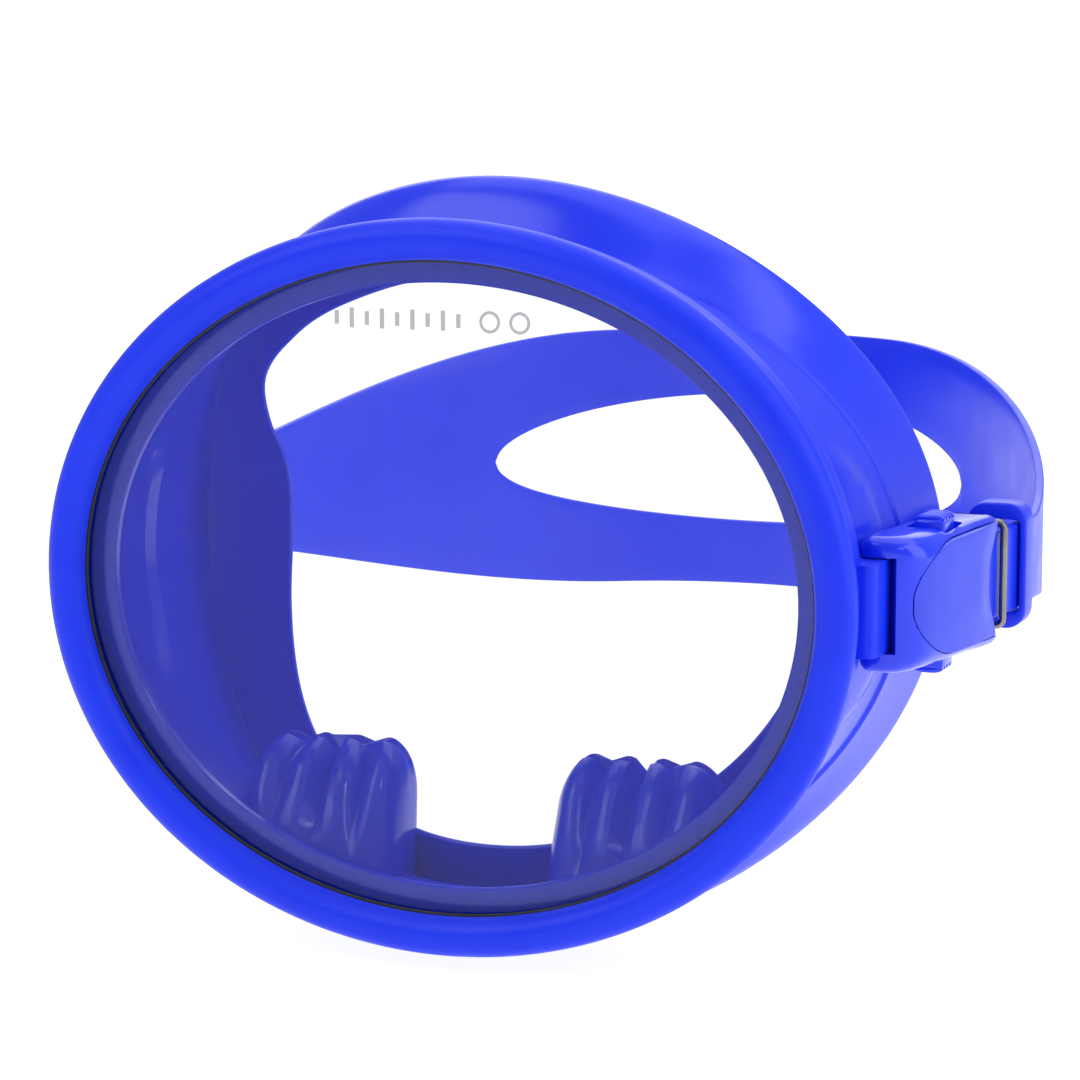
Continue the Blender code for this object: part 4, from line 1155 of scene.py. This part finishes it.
def make_strap_half(side, word, looks):
    """Half of the split head strap with its buckled end."""
    bm = bmesh.new()
    previous = None
    for x, y, middle, half, hole in strap_stations():
        step = (half - hole) / STRAP_ROWS
        low = [bm.verts.new((side * x, y, middle - half + step * j)) for j in range(STRAP_ROWS + 1)]
        high = [] if hole else [low[-1]]
        for j in range(0 if hole else 1, STRAP_ROWS + 1):
            high.append(bm.verts.new((side * x, y, middle + hole + step * j)))
        if previous:
            for before, now in zip(previous, (low, high)):
                for j in range(STRAP_ROWS):
                    bm.faces.new((before[j], now[j], now[j + 1], before[j + 1]))
        previous = (low, high)
    strap = piece_from(bm, f"split_strap_{word}", looks["strap"])
    shell = strap.modifiers.new("thickness", "SOLIDIFY")
    shell.thickness = STRAP_THICKNESS
    shell.offset = 0.0
    settle(strap)
    open_middle(strap)
    soften(strap, STRAP_ROUNDING, angle=60.0)
    close_middle(strap)
    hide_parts(f"strap_end_{word}")
    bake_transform(strap)
    return strap


# ---------------------------------------------------------------- carried-over nodes, stage


def paint_cad_nodes(frame, looks):
    """The pins and springs keep their CAD shapes and get drawn steel."""
    for _, word in SIDES:
        names = [f"pivot_pin_{word}", f"roller_pin_{word}"]
        names += [f"button_spring_{level}_{word}" for level in ("top", "bottom")]
        for name in names:
            node = frame["nodes"][name]
            for k in range(len(node.material_slots)):
                node.material_slots[k].material = looks["pin"]


def area_light(name, place, size, power):
    data = bpy.data.lights.new(name, "AREA")
    data.shape = "RECTANGLE"
    data.size, data.size_y = size
    data.energy = power
    light = bpy.data.objects.new(name, data)
    bpy.context.scene.collection.objects.link(light)
    light.location = place
    light.rotation_euler = (Vector(LIGHT_TARGET) - Vector(place)).to_track_quat("-Z", "Y").to_euler()


def make_stage(looks, floor_z):
    bm = bmesh.new()
    rim = [bm.verts.new((x, y, floor_z)) for x, y in circle_points((0.0, 0.0), FLOOR_RADIUS, 64)]
    bm.faces.new(rim)
    piece_from(bm, "studio_floor", looks["floor"])
    for name, place, size, power in LIGHTS:
        area_light(name, place, size, power)


def make_world():
    """Soft white light from all round, before a plain white backdrop."""
    world = bpy.data.worlds.new("studio")
    world.use_nodes = True
    nodes, links = world.node_tree.nodes, world.node_tree.links
    light = nodes["Background"]
    light.inputs["Color"].default_value = (1.0, 1.0, 1.0, 1.0)
    light.inputs["Strength"].default_value = WORLD_STRENGTH
    backdrop = nodes.new("ShaderNodeBackground")
    backdrop.inputs["Color"].default_value = (1.0, 1.0, 1.0, 1.0)
    mix = nodes.new("ShaderNodeMixShader")
    path = nodes.new("ShaderNodeLightPath")
    links.new(path.outputs["Is Camera Ray"], mix.inputs["Fac"])
    links.new(light.outputs["Background"], mix.inputs[1])
    links.new(backdrop.outputs["Background"], mix.inputs[2])
    links.new(mix.outputs["Shader"], nodes["World Output"].inputs["Surface"])
    bpy.context.scene.world = world


def make_camera():
    data = bpy.data.cameras.new("studio_camera")
    data.lens = CAMERA_LENS_MM
    data.sensor_width = 36.0
    data.clip_end = 20.0
    camera = bpy.data.objects.new("studio_camera", data)
    bpy.context.scene.collection.objects.link(camera)
    camera.location = CAMERA_PLACE
    camera.rotation_euler = CAMERA_TILT
    bpy.context.scene.camera = camera


def main():
    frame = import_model()
    cad_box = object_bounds()
    bpy.context.scene.view_settings.view_transform = "Standard"
    looks = make_materials()
    make_camera()
    make_front_ring(looks)
    make_rear_ring(looks)
    make_gasket(looks)
    make_lens(looks)
    make_etched_mark(looks)
    make_skirt(looks)
    for side, word in SIDES:
        make_buckle_body(side, word, looks)
        make_cover(side, word, looks)
        for level, sign in (("top", 1), ("bottom", -1)):
            make_button(side, word, level, sign, looks)
        make_roller(side, word, looks)
        make_latch_frame(side, word, looks)
        make_keeper(side, word, looks)
        strap = make_strap_half(side, word, looks)
        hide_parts("head_strap")
    paint_cad_nodes(frame, looks)
    make_world()
    make_stage(looks, cad_box[0][2] - FLOOR_BELOW)


main()
